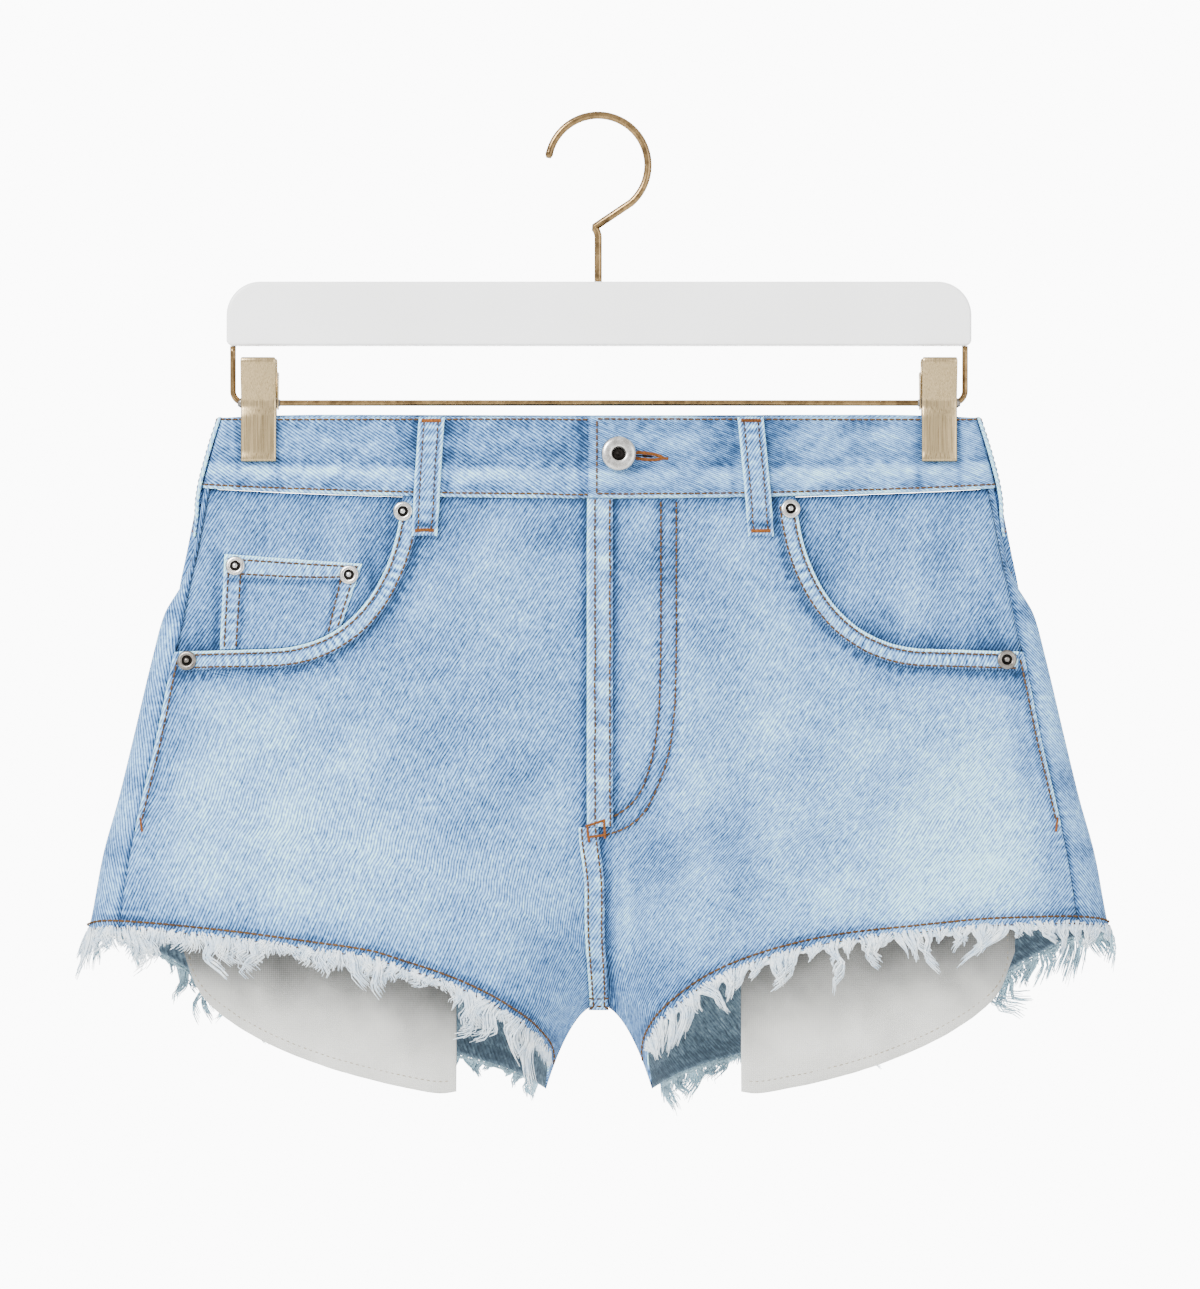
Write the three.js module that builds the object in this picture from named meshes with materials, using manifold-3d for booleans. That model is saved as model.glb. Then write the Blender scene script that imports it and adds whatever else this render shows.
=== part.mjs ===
// Frayed denim shorts held by the two clips of a flat hanger, at real size in millimetres.
// +X is the right side as seen from the front, the front faces -Y, and +Z is up.
// The origin lies under the top of the hanger's hook, where a rail or peg carries it.
import * as THREE from "three";
import { mergeVertices } from "three/addons/utils/BufferGeometryUtils.js";
import Module from "manifold-3d";

const wasm = await Module();
wasm.setup();

// Heights along the middle of the garment
const WAIST_TOP_Z = -149.3;
const WAIST_SEAM_Z = -190;
const WAIST_SEAM_RISE = 5.5; // the waistband's lower edge lifts by this towards the sides
const FLY_END_Z = -353;
const CROTCH_Z = -443;
const INSEAM_Z = -485; // where the inseam meets the raw hem
const INSEAM_X = 26;

// Cloth
const DENIM = 1.2;
const COTTON = 1;
const BAND = 2.4; // the waistband is folded double
const GAP = 0.3; // between pieces that are sewn together
const SEAM_HALF = 1.4; // half the thickness where front and back panels meet

// Depth of each layer's outer side, measured outwards from the panels' outer side
const LAYER = {
  panel: 0,
  facing: -DENIM - GAP,
  coin: -GAP,
  bag: -DENIM - GAP - 1 - 0.8,
  band: 1,
  underlap: -1.8,
  strip: GAP + 1.1,
  loop: 1 + GAP + 1.5,
};

// Horizontal sections of the hanging garment, from the waist down. half is the half width and seam the
// side seam's x. front, back and side are half depths in the middle and at the side fold. round is how
// far the fold rounds over, and the swell fades from share flat to share thin of the half width.
const SECTIONS = [
  { z: -146, half: 186.7, seam: 184.5, front: 11.5, back: 12, side: 2.2, round: 2.6, flat: 0, thin: 0.84 },
  { z: -172, half: 194, seam: 191.5, front: 14, back: 14.5, side: 2.2, round: 3, flat: 0, thin: 0.84 },
  { z: -186, half: 197.6, seam: 195, front: 15.5, back: 16, side: 3.2, round: 5, flat: 0, thin: 0.9 },
  { z: -220, half: 203.5, seam: 202, front: 19, back: 20, side: 5.5, round: 10, flat: 0.05, thin: 1 },
  { z: -232, half: 208.3, seam: 204.5, front: 20.5, back: 22, side: 7, round: 14, flat: 0.08, thin: 1.02 },
  { z: -248, half: 217.5, seam: 207, front: 22, back: 25, side: 8.5, round: 20, flat: 0.12, thin: 1.04 },
  { z: -268, half: 223, seam: 212, front: 24.5, back: 28, side: 10.5, round: 26, flat: 0.15, thin: 1.06 },
  { z: -310, half: 233, seam: 220.5, front: 28, back: 32, side: 14, round: 36, flat: 0.2, thin: 1.09 },
  { z: -340, half: 240.3, seam: 227.5, front: 31, back: 34, side: 16.5, round: 42, flat: 0.25, thin: 1.1 },
  { z: -368, half: 248, seam: 233.5, front: 33.5, back: 35, side: 18.5, round: 46, flat: 0.28, thin: 1.13 },
  { z: -400, half: 254, seam: 238, front: 36, back: 36, side: 20, round: 48, flat: 0.3, thin: 1.15 },
  { z: -408, half: 256, seam: 238.5, front: 36.5, back: 36, side: 20, round: 48, flat: 0.3, thin: 1.15 },
  { z: -490, half: 256, seam: 238.5, front: 39, back: 34, side: 20, round: 48, flat: 0.3, thin: 1.15 },
];

// The rise seam draws in towards the crotch: draw is how much of the depth it takes away, over width
// millimetres to each side, and power is how sharply.
const RISE = [
  { z: -300, draw: 0, width: 44, power: 2 },
  { z: -345, draw: 0.06, width: 42, power: 2 },
  { z: -380, draw: 0.24, width: 38, power: 2 },
  { z: -415, draw: 0.54, width: 32, power: 2 },
  { z: -432, draw: 0.8, width: 28, power: 2 },
  { z: CROTCH_Z, draw: 1, width: 25, power: 2 },
  { z: -475, draw: 1, width: 26, power: 1.25 },
  { z: -490, draw: 1, width: 26, power: 1.2 },
];

// The raw hem of each leg, from the side fold to the inseam, front and back
const HEM = {
  left: [
    { x: 256, z: -407.5 }, { x: 243, z: -404.8 }, { x: 226, z: -405.5 }, { x: 187, z: -409 },
    { x: 140, z: -415 }, { x: 114, z: -418.8 }, { x: 97, z: -424 }, { x: 80, z: -429.5 },
    { x: 63, z: -436.5 }, { x: 46, z: -446 }, { x: 32, z: -457.5 }, { x: 24.6, z: -472 },
    { x: INSEAM_X, z: INSEAM_Z },
  ],
  right: [
    { x: 256, z: -406 }, { x: 229.5, z: -402.4 }, { x: 198.5, z: -403 }, { x: 147, z: -407.5 },
    { x: 121, z: -410.4 }, { x: 104, z: -413.5 }, { x: 86.5, z: -418 }, { x: 69, z: -424 },
    { x: 52, z: -432.5 }, { x: 36, z: -445 }, { x: 28, z: -455 }, { x: 23.6, z: -469 },
    { x: INSEAM_X, z: INSEAM_Z },
  ],
  back: [
    { x: 256, z: -407 }, { x: 240, z: -410 }, { x: 216, z: -421 }, { x: 200, z: -431 },
    { x: 150, z: -450 }, { x: 100, z: -463 }, { x: 70, z: -470 }, { x: 45, z: -477 },
    { x: INSEAM_X, z: INSEAM_Z },
  ],
};

// Broad folds. Each lies at x, z on one side of the cloth and is long, wide and high in millimetres,
// turned from the vertical. A negative height is a trough.
const FOLDS = [
  { face: "front", x: 47, z: -285, long: 62, wide: 18, turn: 4, high: 1.6 },
  { face: "front", x: 146, z: -340, long: 60, wide: 24, turn: -14, high: 1.4 },
  { face: "front", x: -175, z: -345, long: 52, wide: 22, turn: 16, high: 1.4 },
  { face: "back", x: 176, z: -352, long: 54, wide: 24, turn: -12, high: 1.7 },
  { face: "back", x: -168, z: -340, long: 50, wide: 24, turn: 18, high: 1.6 },
];

const clamp = (v, low, high) => Math.min(high, Math.max(low, v));
const lerp = (a, b, t) => a + (b - a) * t;
const ramp = (from, to, v) => {
  const t = clamp((v - from) / (to - from), 0, 1);
  return t * t * (3 - 2 * t);
};

// A smooth line through a table's rows that never overshoots them, read at v along column by.
function smooth(rows, by, column) {
  const sorted = [...rows].sort((a, b) => a[by] - b[by]);
  const x = sorted.map((row) => row[by]);
  const y = sorted.map((row) => row[column]);
  const last = x.length - 1;
  const slope = x.slice(1).map((v, i) => (y[i + 1] - y[i]) / (v - x[i]));
  const tangent = y.map((_, i) => {
    if (i === 0) return slope[0];
    if (i === last) return slope[last - 1];
    const product = slope[i - 1] * slope[i];
    return product <= 0 ? 0 : (2 * product) / (slope[i - 1] + slope[i]);
  });
  return (v) => {
    const at = clamp(v, x[0], x[last]);
    let i = 0;
    while (i < last - 1 && at > x[i + 1]) i += 1;
    const span = x[i + 1] - x[i];
    const t = (at - x[i]) / span;
    const h = t * t * (3 - 2 * t);
    const start = t * (1 - t) * (1 - t);
    const end = t * t * (t - 1);
    return y[i] * (1 - h) + y[i + 1] * h + span * (tangent[i] * start + tangent[i + 1] * end);
  };
}

const section = {};
for (const column of ["half", "seam", "front", "back", "side", "round", "flat", "thin"]) {
  section[column] = smooth(SECTIONS, "z", column);
}
const rise = {};
for (const column of ["draw", "width", "power"]) rise[column] = smooth(RISE, "z", column);

// The inner edge of a leg: the middle line above the crotch, a round arch below it.
function innerX(z) {
  return z < CROTCH_Z ? INSEAM_X * Math.sqrt((CROTCH_Z - z) / (CROTCH_Z - INSEAM_Z)) : 0;
}

const waistSeamZ = (x) => WAIST_SEAM_Z + WAIST_SEAM_RISE * (x / 197) ** 2;

function foldHeight(face, x, z) {
  let sum = 0;
  for (const fold of FOLDS) {
    if (fold.face !== face) continue;
    const turn = (fold.turn * Math.PI) / 180;
    const dx = x - fold.x;
    const dz = z - fold.z;
    const along = dz * Math.cos(turn) + dx * Math.sin(turn);
    const across = dx * Math.cos(turn) - dz * Math.sin(turn);
    sum += fold.high * Math.exp(-((along / fold.long) ** 2) - (across / fold.wide) ** 2);
  }
  return sum;
}

// Half the garment's depth at x, z: the swell between waist and hem, drawn in at the rise seam, with
// folds added and a round close at the side.
function halfDepth(face, x, z) {
  const out = Math.abs(x);
  const inner = innerX(z);
  const half = section.half(z);
  const across = clamp((out - inner) / (half - inner), 0, 1);
  const swell = 1 - ramp(section.flat(z), section.thin(z), across);
  const side = section.side(z);
  const core = side + (section[face](z) - side) * swell;
  const fromSeam = Math.max(out - inner, 0) / rise.width(z);
  const open = 1 - rise.draw(z) * Math.exp(-(fromSeam ** rise.power(z)));
  const edge = clamp((half - out) / section.round(z), 0, 1);
  const close = Math.sqrt(1 - (1 - edge) ** 2);
  const folds = foldHeight(face, x, z) * open * ramp(0, 1, edge) * ramp(-150, -200, z);
  return (SEAM_HALF + (core - SEAM_HALF) * open + folds) * close;
}

const STEP = 1e-3;

// A point of the front or the back, lifted outwards from the panels' outer side.
function onFace(face, x, z, lift) {
  const sign = face === "front" ? -1 : 1;
  const y = (px, pz) => sign * halfDepth(face, px, pz);
  const alongX = new THREE.Vector3(2 * STEP, y(x + STEP, z) - y(x - STEP, z), 0);
  const alongZ = new THREE.Vector3(0, y(x, z + STEP) - y(x, z - STEP), 2 * STEP);
  const outwards = alongX.cross(alongZ).normalize().multiplyScalar(-sign * lift);
  return new THREE.Vector3(x, y(x, z), z).add(outwards);
}
const onFront = (x, z, lift) => onFace("front", x, z, lift);
const onBack = (x, z, lift) => onFace("back", x, z, lift);

// A point round one half of the garment: turn 0 is the front middle, 1 the side fold, 2 the back middle.
function round(side, turn, z, lift) {
  const at = (t, pz) => {
    const inner = innerX(pz);
    const x = side * (inner + (section.half(pz) - inner) * Math.sin((t * Math.PI) / 2));
    const front = t <= 1;
    return new THREE.Vector3(x, halfDepth(front ? "front" : "back", x, pz) * (front ? -1 : 1), pz);
  };
  const before = Math.max(turn - STEP, turn > 1 ? 0 : -1);
  const after = Math.min(turn + STEP, 2);
  const alongTurn = at(after, z).sub(at(before, z));
  const alongZ = at(turn, z + STEP).sub(at(turn, z - STEP));
  const outwards = alongTurn.cross(alongZ).normalize().multiplyScalar(side * lift);
  return at(turn, z).add(outwards);
}

// The turn at which x lies on the front (or the back) at height z.
function turnAt(x, z, back) {
  const inner = innerX(z);
  const share = clamp((x - inner) / (section.half(z) - inner), 0, 1);
  const turn = (Math.asin(share) * 2) / Math.PI;
  return back ? 2 - turn : turn;
}

// The hem's height by turn, for each leg.
function hemLine(side) {
  const front = HEM[side < 0 ? "left" : "right"];
  const rows = front.map(({ x, z }) => ({ turn: turnAt(x, z, false), z }));
  for (const { x, z } of HEM.back.slice(1)) rows.push({ turn: turnAt(x, z, true), z });
  return smooth(rows, "turn", "z");
}
const hemZ = { "-1": hemLine(-1), 1: hemLine(1) };

const seamTurn = (z) => turnAt(section.seam(z), z, false);

// The scooped pocket opening: a curve down from the waistband, then level to the side seam.
const SCOOP = {
  curve: new THREE.CubicBezierCurve(
    new THREE.Vector2(98, -189), new THREE.Vector2(101, -231),
    new THREE.Vector2(122, -265), new THREE.Vector2(165, -265.3),
  ),
  end: new THREE.Vector2(211.5, -266.5),
  curveShare: 0.72,
};
function scoop(t) {
  if (t <= SCOOP.curveShare) return SCOOP.curve.getPointAt(t / SCOOP.curveShare);
  const level = (t - SCOOP.curveShare) / (1 - SCOOP.curveShare);
  return SCOOP.curve.getPoint(1).lerp(SCOOP.end, level);
}
// The scoop moved by distance, to the panel's side where it is positive.
function besideScoop(t, distance) {
  const tangent = scoop(Math.min(t + STEP, 1)).sub(scoop(Math.max(t - STEP, 0))).normalize();
  return scoop(t).add(new THREE.Vector2(tangent.y, -tangent.x).multiplyScalar(distance));
}

const spaced = (count, from = 0, to = 1) =>
  Array.from({ length: count + 1 }, (_, i) => lerp(from, to, i / count));

// Turns a point grid for each side of a cloth into one closed wall.
function wall(across, down, point, outer, inner) {
  const vertices = [];
  for (const lift of [outer, inner]) {
    for (const s of across) for (const t of down) vertices.push(point(s, t, lift));
  }
  const columns = across.length;
  const rows = down.length;
  const id = (layer, i, j) => (layer * columns + i) * rows + j;
  const faces = [];
  const quad = (a, b, c, d) => faces.push(a, b, c, a, c, d);
  for (let i = 0; i < columns - 1; i += 1) {
    for (let j = 0; j < rows - 1; j += 1) {
      quad(id(0, i, j), id(0, i, j + 1), id(0, i + 1, j + 1), id(0, i + 1, j));
      quad(id(1, i, j), id(1, i + 1, j), id(1, i + 1, j + 1), id(1, i, j + 1));
    }
    quad(id(0, i, 0), id(0, i + 1, 0), id(1, i + 1, 0), id(1, i, 0));
    quad(id(0, i + 1, rows - 1), id(0, i, rows - 1), id(1, i, rows - 1), id(1, i + 1, rows - 1));
  }
  for (let j = 0; j < rows - 1; j += 1) {
    quad(id(0, 0, j + 1), id(0, 0, j), id(1, 0, j), id(1, 0, j + 1));
    quad(id(0, columns - 1, j), id(0, columns - 1, j + 1), id(1, columns - 1, j + 1), id(1, columns - 1, j));
  }
  return facingOut(vertices, faces);
}

// A closed triangle mesh whose faces point outwards.
function facingOut(vertices, faces) {
  let volume = 0;
  for (let i = 0; i < faces.length; i += 3) {
    const [a, b, c] = [0, 1, 2].map((k) => vertices[faces[i + k]]);
    volume += a.dot(b.clone().cross(c));
  }
  const index = [...faces];
  if (volume < 0) for (let i = 0; i < index.length; i += 3) index.splice(i, 3, faces[i], faces[i + 2], faces[i + 1]);
  return new THREE.BufferGeometry().setFromPoints(vertices).setIndex(index);
}

function toSolid(geometry) {
  const bare = geometry.clone();
  bare.deleteAttribute("normal");
  bare.deleteAttribute("uv");
  const merged = mergeVertices(bare, 1e-4);
  return new wasm.Manifold(new wasm.Mesh({
    numProp: 3,
    vertProperties: merged.attributes.position.array,
    triVerts: new Uint32Array(merged.index.array),
  }));
}

function fromSolid(solid) {
  const mesh = solid.getMesh();
  return new THREE.BufferGeometry()
    .setAttribute("position", new THREE.BufferAttribute(mesh.vertProperties.slice(), 3))
    .setIndex(new THREE.BufferAttribute(mesh.triVerts.slice(), 1));
}

const finish = (color, roughness, metalness) => new THREE.MeshStandardMaterial({ color, roughness, metalness });
const MATERIAL = {
  denim: finish(0xa9c4de, 0.9, 0),
  band: finish(0xaecae0, 0.9, 0),
  cotton: finish(0xe4e5e2, 0.95, 0),
  fray: finish(0xe9f0f6, 0.95, 0),
  nickel: finish(0xd7d6d4, 0.35, 1),
  gunmetal: finish(0x77736d, 0.4, 1),
  brass: finish(0xa89877, 0.4, 1),
  lacquer: finish(0xfafafa, 0.45, 0),
};

const garment = new THREE.Group();
const hanger = new THREE.Group();
function add(group, name, geometry, material) {
  const mesh = new THREE.Mesh(geometry, material);
  mesh.name = name;
  group.add(mesh);
  return mesh;
}
const sideName = (side) => (side < 0 ? "left" : "right");

// The line between the two front panels: the fly's edge, then the rise seam.
const FLY_EDGE_X = -5;
const SEAM_SHIFT_X = -2;
function middleX(z) {
  const seam = lerp(SEAM_SHIFT_X, 0, ramp(-400, CROTCH_Z, z));
  return lerp(FLY_EDGE_X, seam, ramp(FLY_END_Z, FLY_END_Z - 32, z));
}

// A front panel lies between its middle edge with the inseam, the waistband, the scoop with the side
// seam, and the hem. Opposite edges are blended into each other.
const PANEL_ROWS = 18;
const CROTCH_ROW = 15 / PANEL_ROWS;
const CORNER_ROW = 11 / PANEL_ROWS;
const PANEL_STATIONS = [0, 0.02, 0.055, 0.11, 0.18, 0.27, 0.37, 0.48, 0.59, 0.7, 0.8, 0.88, 0.95, 1];
const HEM_SEAM_TURN = turnAt(section.seam(-405), -405, false);
// The height of a row at the middle edge: rows lie closer together towards the crotch.
const middleRowZ = (t) => lerp(CROTCH_Z, waistSeamZ(0) - GAP, (1 - t / CROTCH_ROW) ** 1.35);
function frontPanel(side) {
  const hem = hemZ[side];
  const middle = (t) => {
    if (t <= CROTCH_ROW) {
      const z = middleRowZ(t);
      return new THREE.Vector2(side * middleX(z) + GAP * 0.7, z);
    }
    const below = (t - CROTCH_ROW) / (1 - CROTCH_ROW);
    const z = lerp(CROTCH_Z, INSEAM_Z, below ** 2);
    return new THREE.Vector2(innerX(z) + GAP / 2, z);
  };
  const outerEdge = (t) => {
    if (t <= CORNER_ROW) return scoop(t / CORNER_ROW);
    const z = lerp(SCOOP.end.y, hemEnd.y, (t - CORNER_ROW) / (1 - CORNER_ROW));
    return new THREE.Vector2(section.seam(z) - GAP / 2, z);
  };
  const hemEnd = new THREE.Vector2(section.seam(-405) - GAP / 2, hem(HEM_SEAM_TURN));
  const top = (s) => {
    const edge = middle(0).lerp(outerEdge(0), s);
    return edge.setY(waistSeamZ(edge.x) - GAP);
  };
  const bottom = (s) => {
    const turn = HEM_SEAM_TURN * s;
    const z = hem(turn);
    const inner = innerX(z);
    const x = inner + (section.half(z) - inner) * Math.sin((turn * Math.PI) / 2);
    return new THREE.Vector2(lerp(x + GAP / 2, x - GAP / 2, s), z);
  };
  const corners = [middle(0), outerEdge(0), middle(1), outerEdge(1)];
  const point = (s, t, lift) => {
    const p = middle(t).multiplyScalar(1 - s).addScaledVector(outerEdge(t), s);
    p.addScaledVector(top(s), 1 - t).addScaledVector(bottom(s), t);
    p.addScaledVector(corners[0], -(1 - s) * (1 - t)).addScaledVector(corners[1], -s * (1 - t));
    p.addScaledVector(corners[2], -(1 - s) * t).addScaledVector(corners[3], -s * t);
    return onFront(side * p.x, p.y, lift);
  };
  return wall(PANEL_STATIONS, spaced(PANEL_ROWS), point, LAYER.panel, LAYER.panel - DENIM);
}

// The back yoke dips from the side seams to a point in the middle.
const YOKE_SIDE_Z = -224;
const YOKE_MIDDLE_Z = -256;
function yokeZ(side, turn) {
  return lerp(YOKE_MIDDLE_Z, YOKE_SIDE_Z, ramp(-0.35, 1, 2 - turn));
}

// Stations from the side seam on the front, round the fold, to the back middle
const FOLD_TURNS = [0.18, 0.36, 0.54, 0.7, 0.85];
const BACK_TURNS = [1.03, 1.07, 1.12, 1.18, 1.26, 1.35, 1.45, 1.56, 1.67, 1.77, 1.86, 1.93];
const MIDDLE_TURN = 1.9994;
function backStations() {
  return [0, ...FOLD_TURNS, 1, ...BACK_TURNS, MIDDLE_TURN];
}
// Stations below 1 are shares of the way from the seam to the fold.
function stationTurn(station, z) {
  return station >= 1 ? station : lerp(seamTurn(z) + 0.0012, 1, station);
}

function backYoke(side) {
  const point = (station, t, lift) => {
    const guess = stationTurn(station, YOKE_SIDE_Z);
    const top = waistSeamZ(section.half(-190) * Math.sin((guess * Math.PI) / 2)) - GAP * 1.5;
    const z = lerp(top, yokeZ(side, guess) + GAP / 2, t);
    return round(side, stationTurn(station, z), z, lift);
  };
  return wall(backStations(), spaced(4), point, LAYER.panel, LAYER.panel - DENIM);
}

function backPanel(side) {
  const crotchShare = (YOKE_MIDDLE_Z - CROTCH_Z) / (YOKE_MIDDLE_Z - INSEAM_Z);
  const rows = [...spaced(10, 0, crotchShare), lerp(crotchShare, 1, 0.12), lerp(crotchShare, 1, 0.45), 1];
  const point = (station, t, lift) => {
    const guess = stationTurn(station, -400);
    const z = lerp(yokeZ(side, stationTurn(station, YOKE_SIDE_Z)) - GAP / 2, hemZ[side](guess), t);
    return round(side, stationTurn(station, z), z, lift);
  };
  return wall(backStations(), rows, point, LAYER.panel, LAYER.panel - DENIM);
}

// The waistband runs from its underlap behind the fly, round the back, to its buttonhole end.
const UNDERLAP_X = 24;
function waistband() {
  const half = section.half(-170);
  const turnOf = (x) => (Math.asin(x / half) * 2) / Math.PI;
  const bend = [0.1, 0.22, 0.34, 0.46, 0.58, 0.7, 0.8, 0.87, 0.91, 0.94, 0.965, 0.985];
  const halfLoop = [...bend, 1, ...bend.map((t) => 2 - t).reverse()];
  const stations = [
    ...[UNDERLAP_X, 12, 0, FLY_EDGE_X - 2].map((x) => ({ side: -1, turn: -turnOf(x) })),
    ...halfLoop.map((turn) => ({ side: -1, turn })),
    { side: -1, turn: 2 },
    ...[...halfLoop].reverse().map((turn) => ({ side: 1, turn })),
    { side: 1, turn: 0 },
    { side: 1, turn: turnOf(FLY_EDGE_X - GAP) },
  ];
  const drop = [0, 0.3, 0.62, 0.8, 1];
  const point = (index, t, lift) => {
    const { side, turn } = stations[index];
    const under = side < 0 ? 1 - ramp(turnOf(FLY_EDGE_X * -1 + 2), turnOf(38), turn) : 0;
    const shift = under * (LAYER.underlap - LAYER.band);
    const lower = waistSeamZ(half * Math.sin((turn * Math.PI) / 2));
    const backRise = turn > 1 ? 1.6 * ramp(1, 1.5, turn) : 0;
    const z = lerp(WAIST_TOP_Z + backRise, lower, t);
    const ridge = 0.7 * Math.exp(-(((t - 0.72) / 0.14) ** 2)) * ramp(0.05, 0.3, Math.abs(1 - turn));
    return round(side, turn, z, lift + shift + (lift > 0 ? ridge : 0));
  };
  return wall(stations.map((_, i) => i), drop, point, LAYER.band, LAYER.band - BAND);
}

// The facing fills the scoop and runs on under the panel's edge, less far and deeper towards the side.
const FACING_UNDER = { middle: 12, side: 2.5 };
const FACING_END_Z = -267.5;
const FACING_SINK = 0.9;
function pocketFacing(side) {
  const point = (s, t, lift) => {
    const inner = besideScoop(t, lerp(FACING_UNDER.middle, FACING_UNDER.side, ramp(0.55, 0.85, t)));
    inner.y = Math.min(inner.y, waistSeamZ(inner.x) - GAP);
    const outerZ = lerp(waistSeamZ(195) - GAP, FACING_END_Z, t);
    const outer = new THREE.Vector2(section.seam(outerZ) - 1.5, outerZ);
    const p = inner.lerp(outer, s);
    const sink = FACING_SINK * ramp(186, 196, p.x) * ramp(-256, -263, p.y);
    return onFront(side * p.x, p.y, lift - sink);
  };
  return wall([0, 0.2, 0.4, 0.58, 0.72, 0.84, 0.93, 1], spaced(11), point, LAYER.facing, LAYER.facing - 1);
}

// The turned edge of the scoop, double stitched, lies on the panel.
const MOUTH_WIDTH = 9.5;
function pocketMouth(side) {
  const point = (s, t, lift) => {
    const p = besideScoop(lerp(0.02, 0.985, t), lerp(0.3, MOUTH_WIDTH, s));
    p.y = Math.min(p.y, waistSeamZ(p.x) - GAP);
    return onFront(side * p.x, p.y, lift);
  };
  return wall(spaced(2), spaced(18), point, LAYER.strip, GAP);
}

// The coin pocket lies on the left facing and ends at the scoop.
const COIN = {
  topOuter: new THREE.Vector2(187, -217.5), topInner: new THREE.Vector2(118, -222.5),
  outerShare: 0.865, innerShare: 0.47,
};
function coinPocket() {
  const point = (s, t, lift) => {
    const top = COIN.topOuter.clone().lerp(COIN.topInner, s);
    const bottom = besideScoop(lerp(COIN.outerShare, COIN.innerShare, s), -1.2);
    const p = top.lerp(bottom, t);
    return onFront(-p.x, p.y, lift);
  };
  return wall(spaced(6), spaced(4), point, LAYER.coin, LAYER.facing + GAP);
}

// The pocket bag is sewn behind the facing and hangs plumb below it.
const BAG = {
  topZ: -204, plumbZ: -278, innerTopX: 84, outerTopX: 186,
  bottom: [
    { share: 0, x: 71, z: -485 }, { share: 0.06, x: 78, z: -486 }, { share: 0.2, x: 97, z: -483 },
    { share: 0.38, x: 123, z: -477 }, { share: 0.54, x: 145, z: -470 }, { share: 0.68, x: 166, z: -461 },
    { share: 0.81, x: 185, z: -450 }, { share: 0.91, x: 199, z: -437 }, { share: 1, x: 208, z: -416 },
  ],
};
const bagBottomX = smooth(BAG.bottom, "share", "x");
const bagBottomZ = smooth(BAG.bottom, "share", "z");
function pocketBag(side) {
  const point = (s, t, lift) => {
    const x = lerp(lerp(BAG.innerTopX, BAG.outerTopX, s), bagBottomX(s), ramp(0.15, 0.7, t));
    const z = lerp(BAG.topZ, bagBottomZ(s), t);
    const hung = onFront(side * x, Math.max(z, BAG.plumbZ), lift);
    return new THREE.Vector3(hung.x, hung.y, z);
  };
  const down = [0, 0.06, 0.12, 0.19, 0.27, 0.42, 0.6, 0.8, 1];
  return wall(spaced(9), down, point, LAYER.bag, LAYER.bag - COTTON);
}

// A strip down the front between two heights, such as the fly's edge or the rise seam. Its rows are
// those of the panels below it, and it stands a little further off where they bend in to the crotch.
const CROTCH_CLEAR = 1;
function downStrip(topZ, bottomZ, left, right) {
  const panelRows = spaced(PANEL_ROWS).slice(0, CROTCH_ROW * PANEL_ROWS + 1).map(middleRowZ);
  const rows = [topZ, ...panelRows.filter((z) => z < topZ - 2 && z > bottomZ + 2), bottomZ];
  const clear = (z) => CROTCH_CLEAR * ramp(-385, -422, z);
  const point = (s, z, lift) => onFront(lerp(left(z), right(z), s), z, lift + clear(z));
  return wall(spaced(2), rows, point, LAYER.strip, GAP);
}
const FLY_STRIP_WIDTH = 12;
const RISE_STRIP_HALF = 4.6;

// Belt loops run over the waistband onto what lies below it, which is under millimetres proud.
const LOOPS = [
  { name: "front_left", x: -83.2, lowX: -86.8, under: LAYER.strip },
  { name: "front_right", x: 75.3, lowX: 80.7, under: LAYER.panel },
];
const LOOP_WIDTH = 13;
const LOOP_LOW_Z = -209;
const LOOP_THICK = 1.5;
function beltLoop(under, columns, place) {
  const point = (s, t, lift) => {
    const z = lerp(WAIST_TOP_Z - 0.4, LOOP_LOW_Z, t);
    const below = ramp(-191, -202, z);
    const shift = under + GAP + LOOP_THICK - LAYER.loop;
    const arch = 0.5 * Math.sin(Math.PI * Math.min(1, t * 1.3));
    return place(s, z, t, lift + lerp(arch, shift, below));
  };
  const rows = [0, 0.2, 0.4, 0.6, 0.72, 0.8, 0.9, 1];
  return wall(spaced(columns, -0.5, 0.5), rows, point, LAYER.loop, LAYER.loop - LOOP_THICK);
}

// The back pocket is a five-cornered patch on the back panel.
const BACK_POCKET = { inner: 38, outer: 156, topZ: -274, sideZ: -384, pointZ: -406, lowInset: 5 };
function backPocket(side) {
  const point = (s, t, lift) => {
    const inset = BACK_POCKET.lowInset * t;
    const x = lerp(BACK_POCKET.inner + inset, BACK_POCKET.outer - inset, s);
    const toPoint = 1 - Math.abs(2 * s - 1);
    const z = lerp(BACK_POCKET.topZ, lerp(BACK_POCKET.sideZ, BACK_POCKET.pointZ, toPoint), t);
    return onBack(side * x, z, lift);
  };
  return wall(spaced(8), spaced(8), point, LAYER.strip, GAP);
}

// A turned piece whose axis stands on the front cloth at x, z.
function seated(geometry, x, z, lift) {
  const foot = onFront(x, z, lift);
  const axis = onFront(x, z, lift + 1).sub(foot);
  const turn = new THREE.Quaternion().setFromUnitVectors(new THREE.Vector3(0, 1, 0), axis.normalize());
  return geometry.applyQuaternion(turn).translate(foot.x, foot.y, foot.z);
}
const lathe = (profile, sides) =>
  new THREE.LatheGeometry(profile.map(([r, h]) => new THREE.Vector2(r, h)), sides);

// Rivet caps: a flat rim, a dished ring and the nail's round end. Radius and height in millimetres.
const RIVET = [[0, 0], [4.9, 0], [4.9, 0.8], [4.1, 1.5], [2.4, 1.3], [1.9, 0.8], [1.3, 1], [0.8, 1.8], [0, 2]];
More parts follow.
